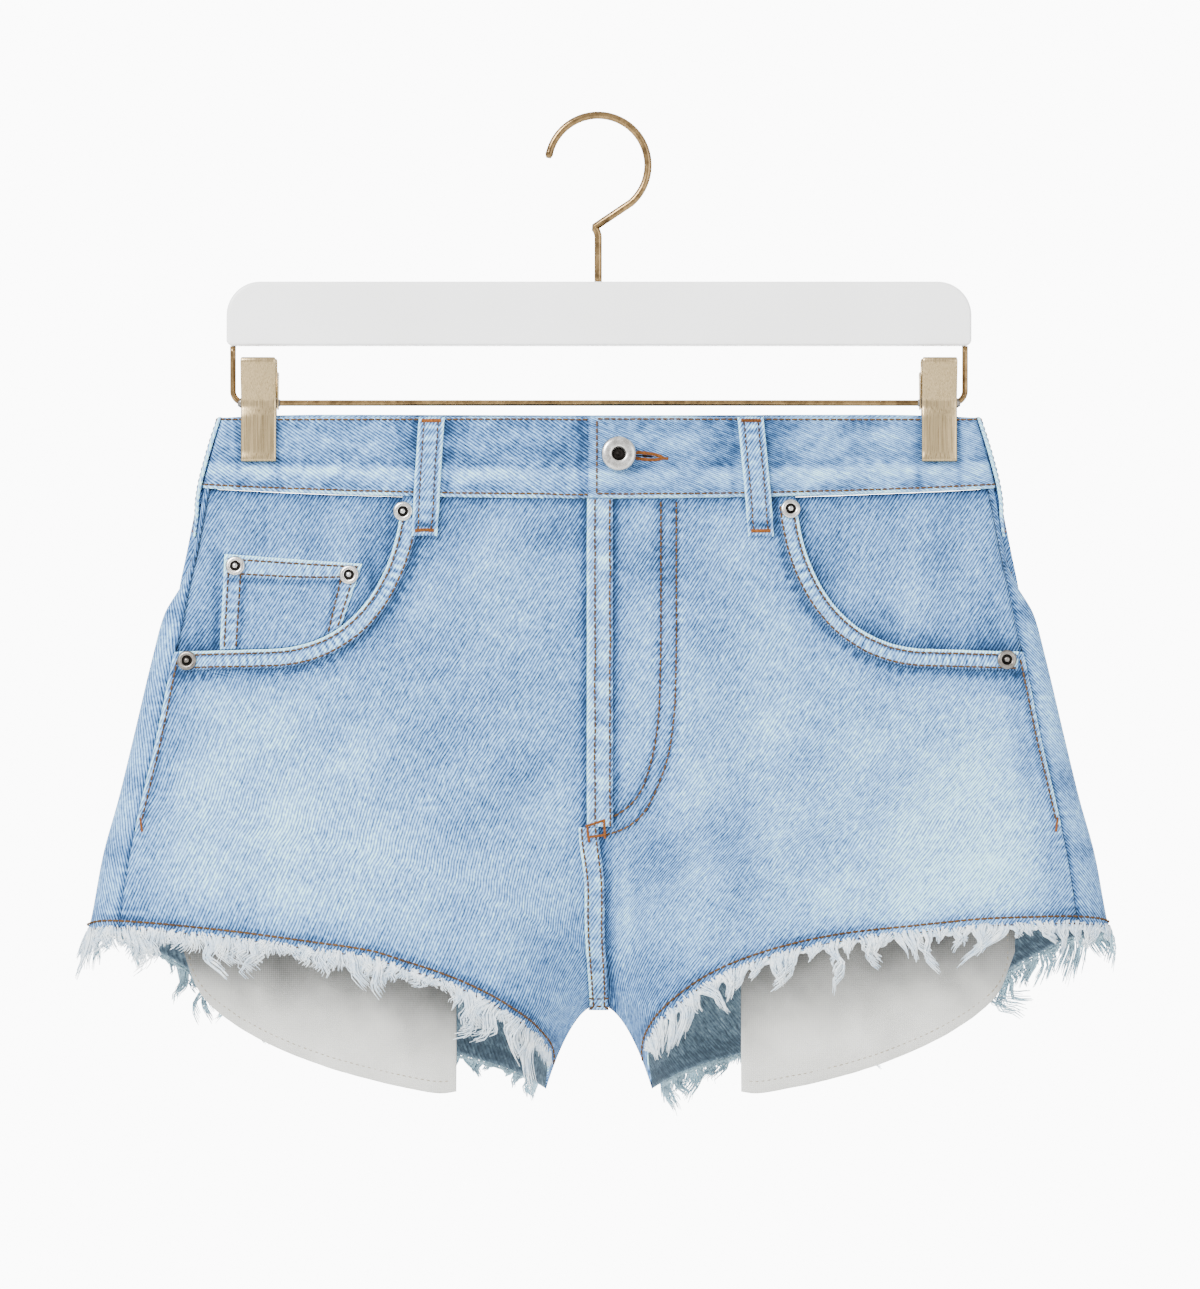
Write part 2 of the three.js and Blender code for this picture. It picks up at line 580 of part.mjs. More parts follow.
// Waist button: a domed ring round a deep centre.
const BUTTON = [[0, 0], [4, 0], [4, 1.2], [8.2, 1.4], [8.8, 2.2], [8.5, 3.4], [6.5, 4.2], [4.1, 4.2], [3.4, 3.6], [3.2, 2.2], [0, 2]];

const RIVETS = [
  { name: "scoop_left", x: -97.5, z: -196.5, lift: LAYER.strip + GAP, material: MATERIAL.nickel },
  { name: "scoop_right", x: 95.5, z: -195.5, lift: LAYER.strip + GAP, material: MATERIAL.nickel },
  { name: "side_left", x: -205, z: -271, lift: LAYER.strip + GAP, material: MATERIAL.gunmetal },
  { name: "side_right", x: 203, z: -270.5, lift: LAYER.strip + GAP, material: MATERIAL.gunmetal },
  { name: "coin_outer", x: -181.5, z: -223.5, lift: LAYER.coin + GAP, material: MATERIAL.nickel },
  { name: "coin_inner", x: -124.5, z: -228, lift: LAYER.coin + GAP, material: MATERIAL.nickel },
];

// A repeatable stream of numbers from 0 to 1, for the strands.
function stream(seed) {
  let state = seed;
  return () => {
    state = (state * 1664525 + 1013904223) % 4294967296;
    return state / 4294967296;
  };
}

// The frayed hem: a narrow strip just below the raw edge, with locks of yarn hanging from it.
const FRAY = { gap: 0.5, strip: 2.2, shortest: 7, longest: 20 };
const LOCK_RINGS = [
  { reach: 0, radius: 0.4 }, { reach: 0.3, radius: 0.95 }, { reach: 1, radius: 0.35 },
];
function frayedHem(side, turns, locks, seed) {
  const random = stream(seed);
  const onHem = (turn, lift) => round(side, turn, hemZ[side](turn), lift);
  const stripPoint = (turn, t, lift) => {
    const along = onHem(turn + 0.002, 0).sub(onHem(turn - 0.002, 0)).normalize();
    const outwards = onHem(turn, 1).sub(onHem(turn, 0)).normalize();
    const down = along.cross(outwards).multiplyScalar(side);
    return onHem(turn, lift).addScaledVector(down, (FRAY.gap + FRAY.strip * t) * Math.sign(-down.z));
  };
  const strip = wall(turns, [0, 1], stripPoint, LAYER.panel, LAYER.panel - DENIM);
  const parts = [toSolid(strip)];
  const roots = new THREE.CurvePath();
  const rootLine = turns.map((turn) => stripPoint(turn, 0.6, -DENIM / 2));
  for (let i = 1; i < rootLine.length; i += 1) roots.add(new THREE.LineCurve3(rootLine[i - 1], rootLine[i]));
  for (let i = 0; i < locks; i += 1) {
    const root = roots.getPointAt((i + 0.3 + 0.4 * random()) / locks);
    const length = lerp(FRAY.shortest, FRAY.longest, random() ** 1.4);
    const lean = (random() - 0.5) * 0.9;
    const out = (random() - 0.5) * 0.25;
    const vertices = LOCK_RINGS.flatMap(({ reach, radius }) => {
      const fall = length * reach;
      const centre = root.clone().add(new THREE.Vector3(lean * fall * reach, out * fall, -fall));
      return [0, 1, 2].map((k) => {
        const angle = (k * 2 * Math.PI) / 3 + i;
        return centre.clone().add(new THREE.Vector3(Math.cos(angle) * radius, Math.sin(angle) * radius, 0));
      });
    });
    const faces = [0, 1, 2, 6, 8, 7];
    for (const ring of [0, 3]) {
      for (let k = 0; k < 3; k += 1) {
        const next = (k + 1) % 3;
        faces.push(ring + k, ring + 3 + k, ring + 3 + next, ring + k, ring + 3 + next, ring + next);
      }
    }
    parts.push(toSolid(facingOut(vertices, faces)));
  }
  return fromSolid(wasm.Manifold.union(parts).simplify(0.02));
}

// Hanger
const WIRE_RADIUS = 1.9;
const ROD = { radius: 1.5, halfSpan: 183, z: -142, bend: 6 };
const BAR = { halfWidth: 186, topZ: -81.5, bottomZ: -113.5, thick: 12, topCorner: 17, lowCorner: 3, bevel: 1.5 };
const CLIP_X = 170;

// A round bar along points in the hanger's plane, x across and z up.
function wire(points, radius, sides) {
  const vertices = points.map((p, i) => {
    const before = points[Math.max(i - 1, 0)];
    const after = points[Math.min(i + 1, points.length - 1)];
    const along = after.clone().sub(before).normalize();
    return spaced(sides - 1, 0, sides - 1).map((k) => {
      const angle = (k * 2 * Math.PI) / sides;
      const aside = Math.cos(angle) * radius;
      return new THREE.Vector3(p.x - along.y * aside, Math.sin(angle) * radius, p.y + along.x * aside);
    });
  }).flat();
  const faces = [];
  const last = (points.length - 1) * sides;
  for (let k = 1; k < sides - 1; k += 1) faces.push(0, k, k + 1, last, last + k + 1, last + k);
  for (let i = 0; i < last; i += sides) {
    for (let k = 0; k < sides; k += 1) {
      const next = (k + 1) % sides;
      faces.push(i + k, i + sides + next, i + next, i + k, i + sides + k, i + sides + next);
    }
  }
  return facingOut(vertices, faces);
}
const arc = (cx, cz, radius, from, to, count) =>
  spaced(count, from, to).map((degrees) => {
    const a = (degrees * Math.PI) / 180;
    return new THREE.Vector2(cx + radius * Math.cos(a), cz + radius * Math.sin(a));
  });

// The hook's bowl, then a straight run down to the neck and a short upright stem.
function hook() {
  const bowl = arc(-0.5, WIRE_RADIUS - 25, 25, 172, -48.8, 22);
  const neck = arc(-8.4, -59.5, 8, 41.2, 0, 4);
  return wire([...bowl, ...neck, new THREE.Vector2(-0.4, BAR.topZ + GAP)], WIRE_RADIUS, 10);
}

function rod() {
  const { radius, halfSpan, z, bend } = ROD;
  const top = BAR.bottomZ - GAP;
  return wire([
    new THREE.Vector2(-halfSpan, top),
    ...arc(-halfSpan + bend, z + bend, bend, 180, 270, 5),
    ...arc(halfSpan - bend, z + bend, bend, 270, 360, 5),
    new THREE.Vector2(halfSpan, top),
  ], radius, 8);
}

function bar() {
  const { halfWidth: w, topZ, bottomZ, thick, topCorner: r, lowCorner: q, bevel: b } = BAR;
  const shape = new THREE.Shape();
  shape.moveTo(-w + b + q, bottomZ + b);
  shape.absarc(w - b - q, bottomZ + b + q, q, -Math.PI / 2, 0);
  shape.absarc(w - b - r, topZ - b - r, r, 0, Math.PI / 2);
  shape.absarc(-w + b + r, topZ - b - r, r, Math.PI / 2, Math.PI);
  shape.absarc(-w + b + q, bottomZ + b + q, q, Math.PI, Math.PI * 1.5);
  const geometry = new THREE.ExtrudeGeometry(shape, {
    depth: thick - 2 * b, bevelThickness: b, bevelSize: b, bevelSegments: 1, curveSegments: 5,
  });
  return geometry.translate(0, 0, -(thick - 2 * b) / 2).rotateX(Math.PI / 2);
}

// One jaw's side view: y from the hanger's middle plane, z up. It flares above the rod, is pinched in
// beside it, and bites the waistband with its lower lip.
const JAW = {
  width: 18, thick: 1.2,
  line: [
    [9.8, -119.6], [10.4, -121], [3.8, -140.4], [3.7, -143.4], [4.8, -148.2], [4.8, -167],
    [5.4, -170.2], [4.9, -171.3],
  ],
  lip: [[3.8, -170.9], [3.8, -169.4], [4.2, -168.6]],
};
function jaw(face) {
  const outer = JAW.line.map(([y, z]) => new THREE.Vector2(y + JAW.thick * 0.5, z));
  const inner = JAW.line.slice(0, 6).map(([y, z]) => new THREE.Vector2(y - JAW.thick * 0.5, z - 0.2)).reverse();
  const lip = JAW.lip.map(([y, z]) => new THREE.Vector2(y, z));
  const shape = new THREE.Shape([...outer, ...lip, ...inner]);
  const geometry = new THREE.ExtrudeGeometry(shape, { depth: JAW.width, bevelEnabled: false });
  geometry.translate(0, 0, -JAW.width / 2);
  const turn = new THREE.Matrix4().makeBasis(
    new THREE.Vector3(0, face, 0), new THREE.Vector3(0, 0, 1), new THREE.Vector3(face, 0, 0),
  );
  return geometry.applyMatrix4(turn);
}

// The clip's coil spring round the rod, as one plain sleeve. It reaches further out on the inner side.
const SLEEVE = { inner: 1.8, outer: 2.7, length: 17, shift: -2.5 };
function spring() {
  const { inner, outer, length } = SLEEVE;
  const [low, high] = [-length / 2, length / 2];
  return lathe([[inner, low], [outer, low], [outer, high], [inner, high], [inner, low]], 14)
    .rotateZ(Math.PI / 2);
}

for (const side of [-1, 1]) {
  const name = sideName(side);
  add(garment, `front_panel_${name}`, frontPanel(side), MATERIAL.denim);
  add(garment, `back_panel_${name}`, backPanel(side), MATERIAL.denim);
  add(garment, `back_yoke_${name}`, backYoke(side), MATERIAL.denim);
  add(garment, `back_pocket_${name}`, backPocket(side), MATERIAL.denim);
  add(garment, `pocket_facing_${name}`, pocketFacing(side), MATERIAL.denim);
  add(garment, `pocket_mouth_${name}`, pocketMouth(side), MATERIAL.band);
  add(garment, `pocket_bag_${name}`, pocketBag(side), MATERIAL.cotton);
  const frontTurns = PANEL_STATIONS.map((s) => s * HEM_SEAM_TURN);
  for (const station of FOLD_TURNS) frontTurns.push(stationTurn(station, -405));
  frontTurns.splice(0, 2);
  add(garment, `fray_front_${name}`, frayedHem(side, [...frontTurns, 0.985], 30, 41 + side), MATERIAL.fray);
  add(garment, `fray_back_${name}`, frayedHem(side, [1.015, ...BACK_TURNS, 1.97], 30, 63 + side), MATERIAL.fray);
}
add(garment, "coin_pocket", coinPocket(), MATERIAL.denim);
add(garment, "waistband", waistband(), MATERIAL.band);
add(garment, "fly_placket", downStrip(
  waistSeamZ(0) - GAP, FLY_END_Z, (z) => middleX(z) - 0.8, (z) => middleX(z) + FLY_STRIP_WIDTH,
), MATERIAL.band);
add(garment, "rise_seam", downStrip(
  FLY_END_Z - GAP, CROTCH_Z + 5, (z) => middleX(z) - RISE_STRIP_HALF, (z) => middleX(z) + RISE_STRIP_HALF,
), MATERIAL.band);
for (const { name, x, lowX, under } of LOOPS) {
  const place = (s, z, t, lift) => onFront(lerp(x, lowX, t) + s * LOOP_WIDTH, z, lift);
  add(garment, `belt_loop_${name}`, beltLoop(under, 2, place), MATERIAL.band);
}
// The loops at the sides lie on the fold, behind the clips.
const SIDE_LOOP = { front: 0.96, back: 1.165 };
for (const side of [-1, 1]) {
  const place = (s, z, t, lift) => round(side, lerp(SIDE_LOOP.front, SIDE_LOOP.back, s + 0.5), z, lift);
  add(garment, `belt_loop_side_${sideName(side)}`, beltLoop(LAYER.panel + 0.4, 6, place), MATERIAL.band);
}
const middleLoop = beltLoop(LAYER.panel, 2, (s, z, t, lift) => onBack(s * LOOP_WIDTH, z, lift));
add(garment, "belt_loop_middle", middleLoop, MATERIAL.band);
for (const { name, x, z, lift, material } of RIVETS) {
  add(garment, `rivet_${name}`, seated(lathe(RIVET, 11), x, z, lift), material);
}
add(garment, "waist_button", seated(lathe(BUTTON, 18), 9.7, -168.2, LAYER.band + 0.7 + GAP), MATERIAL.nickel);

add(hanger, "hanger_bar", bar(), MATERIAL.lacquer);
add(hanger, "hanger_hook", hook(), MATERIAL.brass);
add(hanger, "hanger_rod", rod(), MATERIAL.brass);
for (const side of [-1, 1]) {
  const name = sideName(side);
  for (const [face, label] of [[-1, "front"], [1, "back"]]) {
    add(hanger, `clip_${name}_${label}_jaw`, jaw(face), MATERIAL.brass).position.x = side * CLIP_X;
  }
  const sleeve = add(hanger, `clip_${name}_spring`, spring(), MATERIAL.brass);
  sleeve.position.set(side * (CLIP_X + SLEEVE.shift), 0, ROD.z);
}

const shorts = new THREE.Group();
shorts.add(garment, hanger);
export default shorts;
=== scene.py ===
"""Frayed, light-washed denim shorts held by the two clips of a flat white hanger.

Lengths are worked out in millimetres and put into the meshes in metres. The front faces -Y, +Z is up, and
the origin lies under the top of the hanger's hook. Every cloth piece is a grid on one draped surface, moved
out by its own place in the layers, so what lies on a panel follows the panel.
"""
import math

import bpy
import numpy as np
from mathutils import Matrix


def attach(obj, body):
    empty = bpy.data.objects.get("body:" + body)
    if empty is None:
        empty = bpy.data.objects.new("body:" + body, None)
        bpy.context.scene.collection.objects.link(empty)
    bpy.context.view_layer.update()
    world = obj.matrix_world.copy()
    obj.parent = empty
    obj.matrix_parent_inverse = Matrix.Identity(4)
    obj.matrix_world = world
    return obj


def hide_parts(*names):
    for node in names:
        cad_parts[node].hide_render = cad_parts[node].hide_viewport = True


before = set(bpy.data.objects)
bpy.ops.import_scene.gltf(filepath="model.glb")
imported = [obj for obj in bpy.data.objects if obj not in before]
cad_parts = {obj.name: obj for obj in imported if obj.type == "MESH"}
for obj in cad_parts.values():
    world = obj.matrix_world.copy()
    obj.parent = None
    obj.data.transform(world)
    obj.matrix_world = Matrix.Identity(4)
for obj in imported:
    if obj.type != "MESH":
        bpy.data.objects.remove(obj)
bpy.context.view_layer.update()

MM = 0.001

# Heights and half widths of the garment, and the thickness of its cloth, as in the solids
WAIST_TOP_Z = -149.3
WAIST_SEAM_Z = -190.0
WAIST_SEAM_RISE = 5.5
WAIST_HALF = 197
SCOOP_END_Z = -266.5
FLY_END_Z = -353.0
CROTCH_Z = -443.0
INSEAM_Z = -485.0
INSEAM_X = 26.0
DENIM = 1.2
COTTON = 1.0
BAND = 2.4
GAP = 0.3
SEAM_HALF = 1.4

LAYER = {
    "panel": 0.0,
    "facing": -DENIM - GAP,
    "coin": -GAP,
    "bag": -DENIM - GAP - 1 - 0.8,
    "band": 1.0,
    "underlap": -1.8,
    "strip": GAP + 1.1,
    "loop": 1 + GAP + 1.5,
}

# Horizontal sections of the hanging garment: half width, side seam, half depths in front, behind and at the
# fold, how far the fold rounds over, and the shares of the width where the swell starts and ends.
SECTION_COLUMNS = ("z", "half", "seam", "front", "back", "side", "round", "flat", "thin")
SECTION_ROWS = [
    (-146, 186.7, 184.5, 11.5, 12, 2.2, 2.6, 0, 0.84),
    (-172, 194, 191.5, 14, 14.5, 2.2, 3, 0, 0.84),
    (-186, 197.6, 195, 15.5, 16, 3.2, 5, 0, 0.9),
    (-220, 203.5, 202, 19, 20, 5.5, 10, 0.05, 1),
    (-232, 208.3, 204.5, 20.5, 22, 7, 14, 0.08, 1.02),
    (-248, 217.5, 207, 22, 25, 8.5, 20, 0.12, 1.04),
    (-268, 223, 212, 24.5, 28, 10.5, 26, 0.15, 1.06),
    (-310, 233, 220.5, 28, 32, 14, 36, 0.2, 1.09),
    (-340, 240.3, 227.5, 31, 34, 16.5, 42, 0.25, 1.1),
    (-368, 248, 233.5, 33.5, 35, 18.5, 46, 0.28, 1.13),
    (-400, 254, 238, 36, 36, 20, 48, 0.3, 1.15),
    (-408, 256, 238.5, 36.5, 36, 20, 48, 0.3, 1.15),
    (-490, 256, 238.5, 39, 34, 20, 48, 0.3, 1.15),
]
RISE_COLUMNS = ("z", "draw", "width", "power")
RISE_ROWS = [
    (-300, 0, 44, 2),
    (-345, 0.06, 42, 2),
    (-380, 0.24, 38, 2),
    (-415, 0.54, 32, 2),
    (-432, 0.8, 28, 2),
    (CROTCH_Z, 1, 25, 2),
    (-475, 1, 26, 1.25),
    (-490, 1, 26, 1.2),
]
HEM = {
    -1: [(256, -407.5), (243, -404.8), (226, -405.5), (187, -409), (140, -415), (114, -418.8), (97, -424),
         (80, -429.5), (63, -436.5), (46, -446), (32, -457.5), (24.6, -472), (INSEAM_X, INSEAM_Z)],
    1: [(256, -406), (229.5, -402.4), (198.5, -403), (147, -407.5), (121, -410.4), (104, -413.5),
        (86.5, -418), (69, -424), (52, -432.5), (36, -445), (28, -455), (23.6, -469), (INSEAM_X, INSEAM_Z)],
}
HEM_BACK = [(240, -410), (216, -421), (200, -431), (150, -450), (100, -463), (70, -470), (45, -477),
            (INSEAM_X, INSEAM_Z)]

# Folds in the cloth: side of the garment, place, length, width, turn from the vertical, height. The first
# five are the solids' broad ones.
FOLDS = [
    ("front", 47, -285, 62, 18, 4, 1.6),
    ("front", 146, -340, 60, 24, -14, 1.4),
    ("front", -175, -345, 52, 22, 16, 1.4),
    ("back", 176, -352, 54, 24, -12, 1.7),
    ("back", -168, -340, 50, 24, 18, 1.6),
    ("front", 44, -262, 70, 7, 2, 1.3),
    ("front", 36, -372, 40, 8, 12, 1.7),
    ("front", 60, -392, 44, 8, 24, 1.5),
    ("front", -133, -312, 34, 9, 64, -1.2),
    ("front", -58, -392, 42, 9, -38, 1.5),
    ("front", -30, -402, 30, 7, -24, -1.1),
    ("front", -64, -214, 24, 7, 38, -1.1),
    ("front", -28, -206, 22, 6, 52, 1.1),
    ("front", 58, -212, 24, 7, -36, -1.1),
    ("front", 24, -412, 34, 6, 14, 1.5),
    ("front", 186, -380, 36, 9, -8, 1.2),
    ("front", -206, -366, 34, 8, 10, 1.1),
    ("back", 52, -392, 44, 10, 34, 1.3),
    ("back", -57, -398, 40, 9, -36, 1.2),
    ("back", 10, -300, 48, 9, 3, -0.7),
    ("back", 96, -246, 44, 8, 78, -0.6),
    ("back", -92, -242, 40, 8, -76, -0.6),
]


def ramp(start, end, v):
    """A smooth step: with u the share of the way from start to end, kept to 0 to 1, it is u*u*(3 - 2u)."""
    u = np.clip((np.asarray(v, float) - start) / (end - start), 0, 1)
    return u * u * (3 - 2 * u)


def lerp(a, b, t):
    """a at t = 0, b at t = 1, and in proportion between."""
    return a + (b - a) * t


def bell(v, centre, width):
    """A bell curve: e to minus the square of v's distance from centre in widths, so 1 at centre."""
    return np.exp(-(((v - centre) / width) ** 2))


def oval(u, v, centre_u, centre_v, wide, tall):
    """An oval patch: the product of two bell curves across each other."""
    return np.exp(-(((u - centre_u) / wide) ** 2) - ((v - centre_v) / tall) ** 2)


def through(xs, ys):
    """A function along a table's points: cubic between them, with each tangent the harmonic mean of the
    slopes on both sides, or level where they differ in sign, so the line never overshoots its points."""
    order = np.argsort(xs)
    x = np.asarray(xs, float)[order]
    y = np.asarray(ys, float)[order]
    slope = np.diff(y) / np.diff(x)
    product = slope[:-1] * slope[1:]
    total = np.where(slope[:-1] + slope[1:] == 0, 1, slope[:-1] + slope[1:])
    tangent = np.concatenate(([slope[0]], np.where(product > 0, 2 * product / total, 0), [slope[-1]]))

    def at(v):
        v = np.clip(v, x[0], x[-1])
        i = np.clip(np.searchsorted(x, v, side="right") - 1, 0, len(x) - 2)
        span = x[i + 1] - x[i]
        t = (v - x[i]) / span
        h = t * t * (3 - 2 * t)
        bend = tangent[i] * t * (1 - t) ** 2 + tangent[i + 1] * t * t * (t - 1)
        return y[i] * (1 - h) + y[i + 1] * h + span * bend

    return at


def curves(columns, rows):
    """One smooth function of the first column for each other column of a table."""
    data = np.array(rows, float).T
    return {name: through(data[0], values) for name, values in zip(columns[1:], data[1:])}


section = curves(SECTION_COLUMNS, SECTION_ROWS)
rise = curves(RISE_COLUMNS, RISE_ROWS)


def inner_x(z):
    """The leg's inner edge: 0 above the crotch, and an arch that grows with the root of the drop below."""
    drop = np.clip((CROTCH_Z - z) / (CROTCH_Z - INSEAM_Z), 0, None)
    return INSEAM_X * np.sqrt(drop)


def waves(x, z, size, seed):
    """Soft unevenness of about unit height: seven sine waves of random heading, phase and a length near
    size, added up."""
    random = np.random.default_rng(seed)
    total = 0
    for _ in range(7):
        heading = random.uniform(0, math.pi)
        length = size * random.uniform(0.7, 1.5)
        phase = random.uniform(0, 2 * math.pi)
        along = x * math.cos(heading) + z * math.sin(heading)
        total = total + np.sin(along * 2 * math.pi / length + phase)
    return total / 2.6


def ladder(along, seed=0.0, period=4.4):
    """The uneven rungs that a topstitched seam draws up: a sine along the seam whose phase wanders, from
    -1 to 1."""
    wander = 1.6 * np.sin(along / 13.0 + seed) + 1.1 * np.sin(along / 5.9 + 2 * seed)
    strength = 0.65 + 0.35 * np.sin(along / 8.3 + 3 * seed)
    return strength * np.sin(2 * math.pi * along / period + wander)


# The fly's two curved stitch rows, in x and z on the front
FLY_OUTER = np.array([(38.5, -190), (38.5, -250), (37.8, -290), (35.8, -310), (33.6, -320.5), (28.7, -334),
                      (22.4, -346), (12.6, -354), (2.7, -357.5)], float)
FLY_INNER = np.array([(30.8, -190), (30.8, -250), (30, -292), (28, -311), (25.9, -320.5), (21, -335),
                      (14, -343.6), (5, -349), (-5.4, -352)], float)


def fly_plateau(x, z):
    """The fly's facing under the panel shows as a low step, 0.55 mm high, that ends 2.5 mm outside its
    outer stitch row."""
    edge = np.interp(-z, -FLY_OUTER[:, 1], FLY_OUTER[:, 0]) + 2.5
    within = ramp(1.6, -1.6, x - edge) * ramp(-7, -4, x)
    return 0.55 * within * ramp(-362, -356, z)


def relief(face, x, z):
    """Small relief of the cloth: two sizes of unevenness, the narrow folds and the fly's step."""
    seed = 5 if face == "front" else 8
    total = 0.45 * waves(x, z, 46, seed) + 0.13 * waves(x, z, 15, seed + 1)
    total = total + 0.045 * waves(x, z, 6, seed + 2)
    for side, fx, fz, length, width, turn, height in FOLDS:
        if side != face:
            continue
        a = math.radians(turn)
        along = (z - fz) * math.cos(a) + (x - fx) * math.sin(a)
        over = (x - fx) * math.cos(a) - (z - fz) * math.sin(a)
        total = total + height * oval(along, over, 0, 0, length, width)
    if face == "front":
        total = total + fly_plateau(x, z)
    return total


def half_depth(face, x, z):
    """Half the garment's depth at x, z. It swells between waist and hem, is drawn in at the rise seam, takes
    the relief, and closes round at the side as a quarter circle does."""
    out = np.abs(x)
    half = section["half"](z)
    edge_x = inner_x(z)
    inner = edge_x * np.exp(-np.maximum(out - edge_x, 0) / 14)
    across = np.clip((out - inner) / (half - inner), 0, 1)
    swell = 1 - ramp(0, 1, (across - section["flat"](z)) / (section["thin"](z) - section["flat"](z)))
    side = section["side"](z)
    core = side + (section[face](z) - side) * swell
    from_seam = np.maximum(out - inner, 0) / rise["width"](z)
    opened = 1 - rise["draw"](z) * np.exp(-(from_seam ** rise["power"](z)))
    edge = np.clip((half - out) / section["round"](z), 0, 1)
    close = np.sqrt(1 - (1 - edge) ** 2)
    shaped = relief(face, x, z) * opened * ramp(0, 1, edge) * (0.25 + 0.75 * ramp(-182, -205, z))
    return (SEAM_HALF + (core - SEAM_HALF) * opened + shaped) * close


STEP = 0.02


def floats(*values):
    """The values as arrays of floats of one shape."""
    return np.broadcast_arrays(*(np.asarray(v, float) for v in values))


def unit(vectors, least=0.0):
    """The vectors divided by their lengths plus least."""
    return vectors / (np.linalg.norm(vectors, axis=-1, keepdims=True) + least)


def distances(line):
    """How far along a line of points each of them lies."""
    return np.concatenate(([0], np.cumsum(np.linalg.norm(np.diff(line, axis=0), axis=1))))


def moved_out(point, along_a, along_b, lift, sign):
    """point moved by lift along the unit cross product of two tangents, times sign."""
    return point + unit(np.cross(along_a, along_b)) * (sign * np.asarray(lift, float))[..., None]


def on_face(face, x, z, lift):
    """The point of the front or back at x, z, moved outwards by lift along the surface's normal."""
    x, z, lift = floats(x, z, lift)
    sign = -1 if face == "front" else 1
    zero = np.zeros_like(x)
    slope_x = sign * (half_depth(face, x + STEP, z) - half_depth(face, x - STEP, z))
    slope_z = sign * (half_depth(face, x, z + STEP) - half_depth(face, x, z - STEP))
    along_x = np.stack((zero + 2 * STEP, slope_x, zero), -1)
    along_z = np.stack((zero, slope_z, zero + 2 * STEP), -1)
    point = np.stack((x, sign * half_depth(face, x, z), z), -1)
    return moved_out(point, along_x, along_z, lift, -sign)


def round_half(side, turn, z, lift):
    """A point round one half of the garment: turn 0 is the front middle, 1 the side fold and 2 the back
    middle, x being the inner edge plus a sine's share of the width."""
    turn, z, lift = floats(turn, z, lift)

    def at(t, height):
        inner = inner_x(height)
        x = side * (inner + (section["half"](height) - inner) * np.sin(t * math.pi / 2))
        y = np.where(t <= 1, -half_depth("front", x, height), half_depth("back", x, height))
        return np.stack((x, y, height), -1)

    step = 1e-3
    before = np.maximum(turn - step, np.where(turn > 1, 0, -1))
    along_turn = at(np.minimum(turn + step, 2), z) - at(before, z)
    along_z = at(turn, z + STEP) - at(turn, z - STEP)
    return moved_out(at(turn, z), along_turn, along_z, lift, side)


def turn_at(x, z, back=False):
    """The turn at which |x| lies on the front, or the back, at height z."""
    inner = inner_x(z)
    share = np.clip((np.abs(x) - inner) / (section["half"](z) - inner), 0, 1)
    turn = np.arcsin(share) * 2 / math.pi
    return 2 - turn if back else turn


def hem_line(side):
    """The raw hem's height and its |x| as functions of turn, front and back, for one leg."""
    front = np.array(HEM[side], float)
    back = np.array(HEM_BACK, float)
    turns = np.concatenate((turn_at(front[:, 0], front[:, 1]), turn_at(back[:, 0], back[:, 1], True)))
    whole = np.concatenate((front, back))
    return through(turns, whole[:, 1]), through(turns, whole[:, 0])


hem_z = {side: hem_line(side)[0] for side in (-1, 1)}
hem_x = {side: hem_line(side)[1] for side in (-1, 1)}


def hem_turn(side, turn):
    """The turn that meets the hem's own x, so the raw edge stays one smooth line near the inseam. Towards
    the side fold it goes over to turn itself."""
    z = hem_z[side](turn)
    met = np.where(turn > 1, turn_at(hem_x[side](turn), z, True), turn_at(hem_x[side](turn), z))
    return lerp(turn, met, ramp(0.55, 0.75, np.abs(turn - 1)))


def waist_seam_z(x):
    """The waistband's lower edge: a parabola that lifts towards the sides."""
    return WAIST_SEAM_Z + WAIST_SEAM_RISE * (x / WAIST_HALF) ** 2


def scoop_table():
    """The pocket opening as a dense line: a cubic Bezier spaced evenly by length, then a level run."""
    a, b, c, d = (np.array(p, float) for p in ((98, -189), (101, -231), (122, -265), (165, -265.3)))
    u = np.linspace(0, 1, 400)[:, None]
    points = a * (1 - u) ** 3 + 3 * b * u * (1 - u) ** 2 + 3 * c * u * u * (1 - u) + d * u ** 3
    length = distances(points)
    t = np.concatenate((0.72 * length / length[-1], [1]))
    return t, np.vstack((points, (211.5, SCOOP_END_Z)))


SCOOP_T, SCOOP_LINE = scoop_table()


def scoop(t):
    """x and z of the pocket opening at share t of its length."""
    return np.interp(t, SCOOP_T, SCOOP_LINE[:, 0]), np.interp(t, SCOOP_T, SCOOP_LINE[:, 1])


def beside_scoop(t, distance):
    """The scoop moved by distance square to itself, to the panel's side where that is positive."""
    x, z = scoop(t)
    xa, za = scoop(np.minimum(t + 4e-3, 1))
    xb, zb = scoop(np.maximum(t - 4e-3, 0))
    dx, dz = xa - xb, za - zb
    size = np.hypot(dx, dz)
    return x + dz / size * distance, z - dx / size * distance


def near(x, z, line):
    """Distance from each x, z to a polyline, and how far along it the nearest place lies: the least over
    its segments of the distance to the clamped foot of the perpendicular."""
    best = np.full(np.shape(x), 1e9)
    place = np.zeros(np.shape(x))
    run = 0.0
    for (ax, az), (bx, bz) in zip(line[:-1], line[1:]):
        length = math.hypot(bx - ax, bz - az)
        t = np.clip(((x - ax) * (bx - ax) + (z - az) * (bz - az)) / length ** 2, 0, 1)
        distance = np.hypot(x - ax - (bx - ax) * t, z - az - (bz - az) * t)
        closer = distance < best
        best = np.where(closer, distance, best)
        place = np.where(closer, run + t * length, place)
        run += length
    return best, place


# Meshes
def place_object(name, data):
    """A new object in the scene."""
    thing = bpy.data.objects.new(name, data)
    bpy.context.scene.collection.objects.link(thing)
    return thing


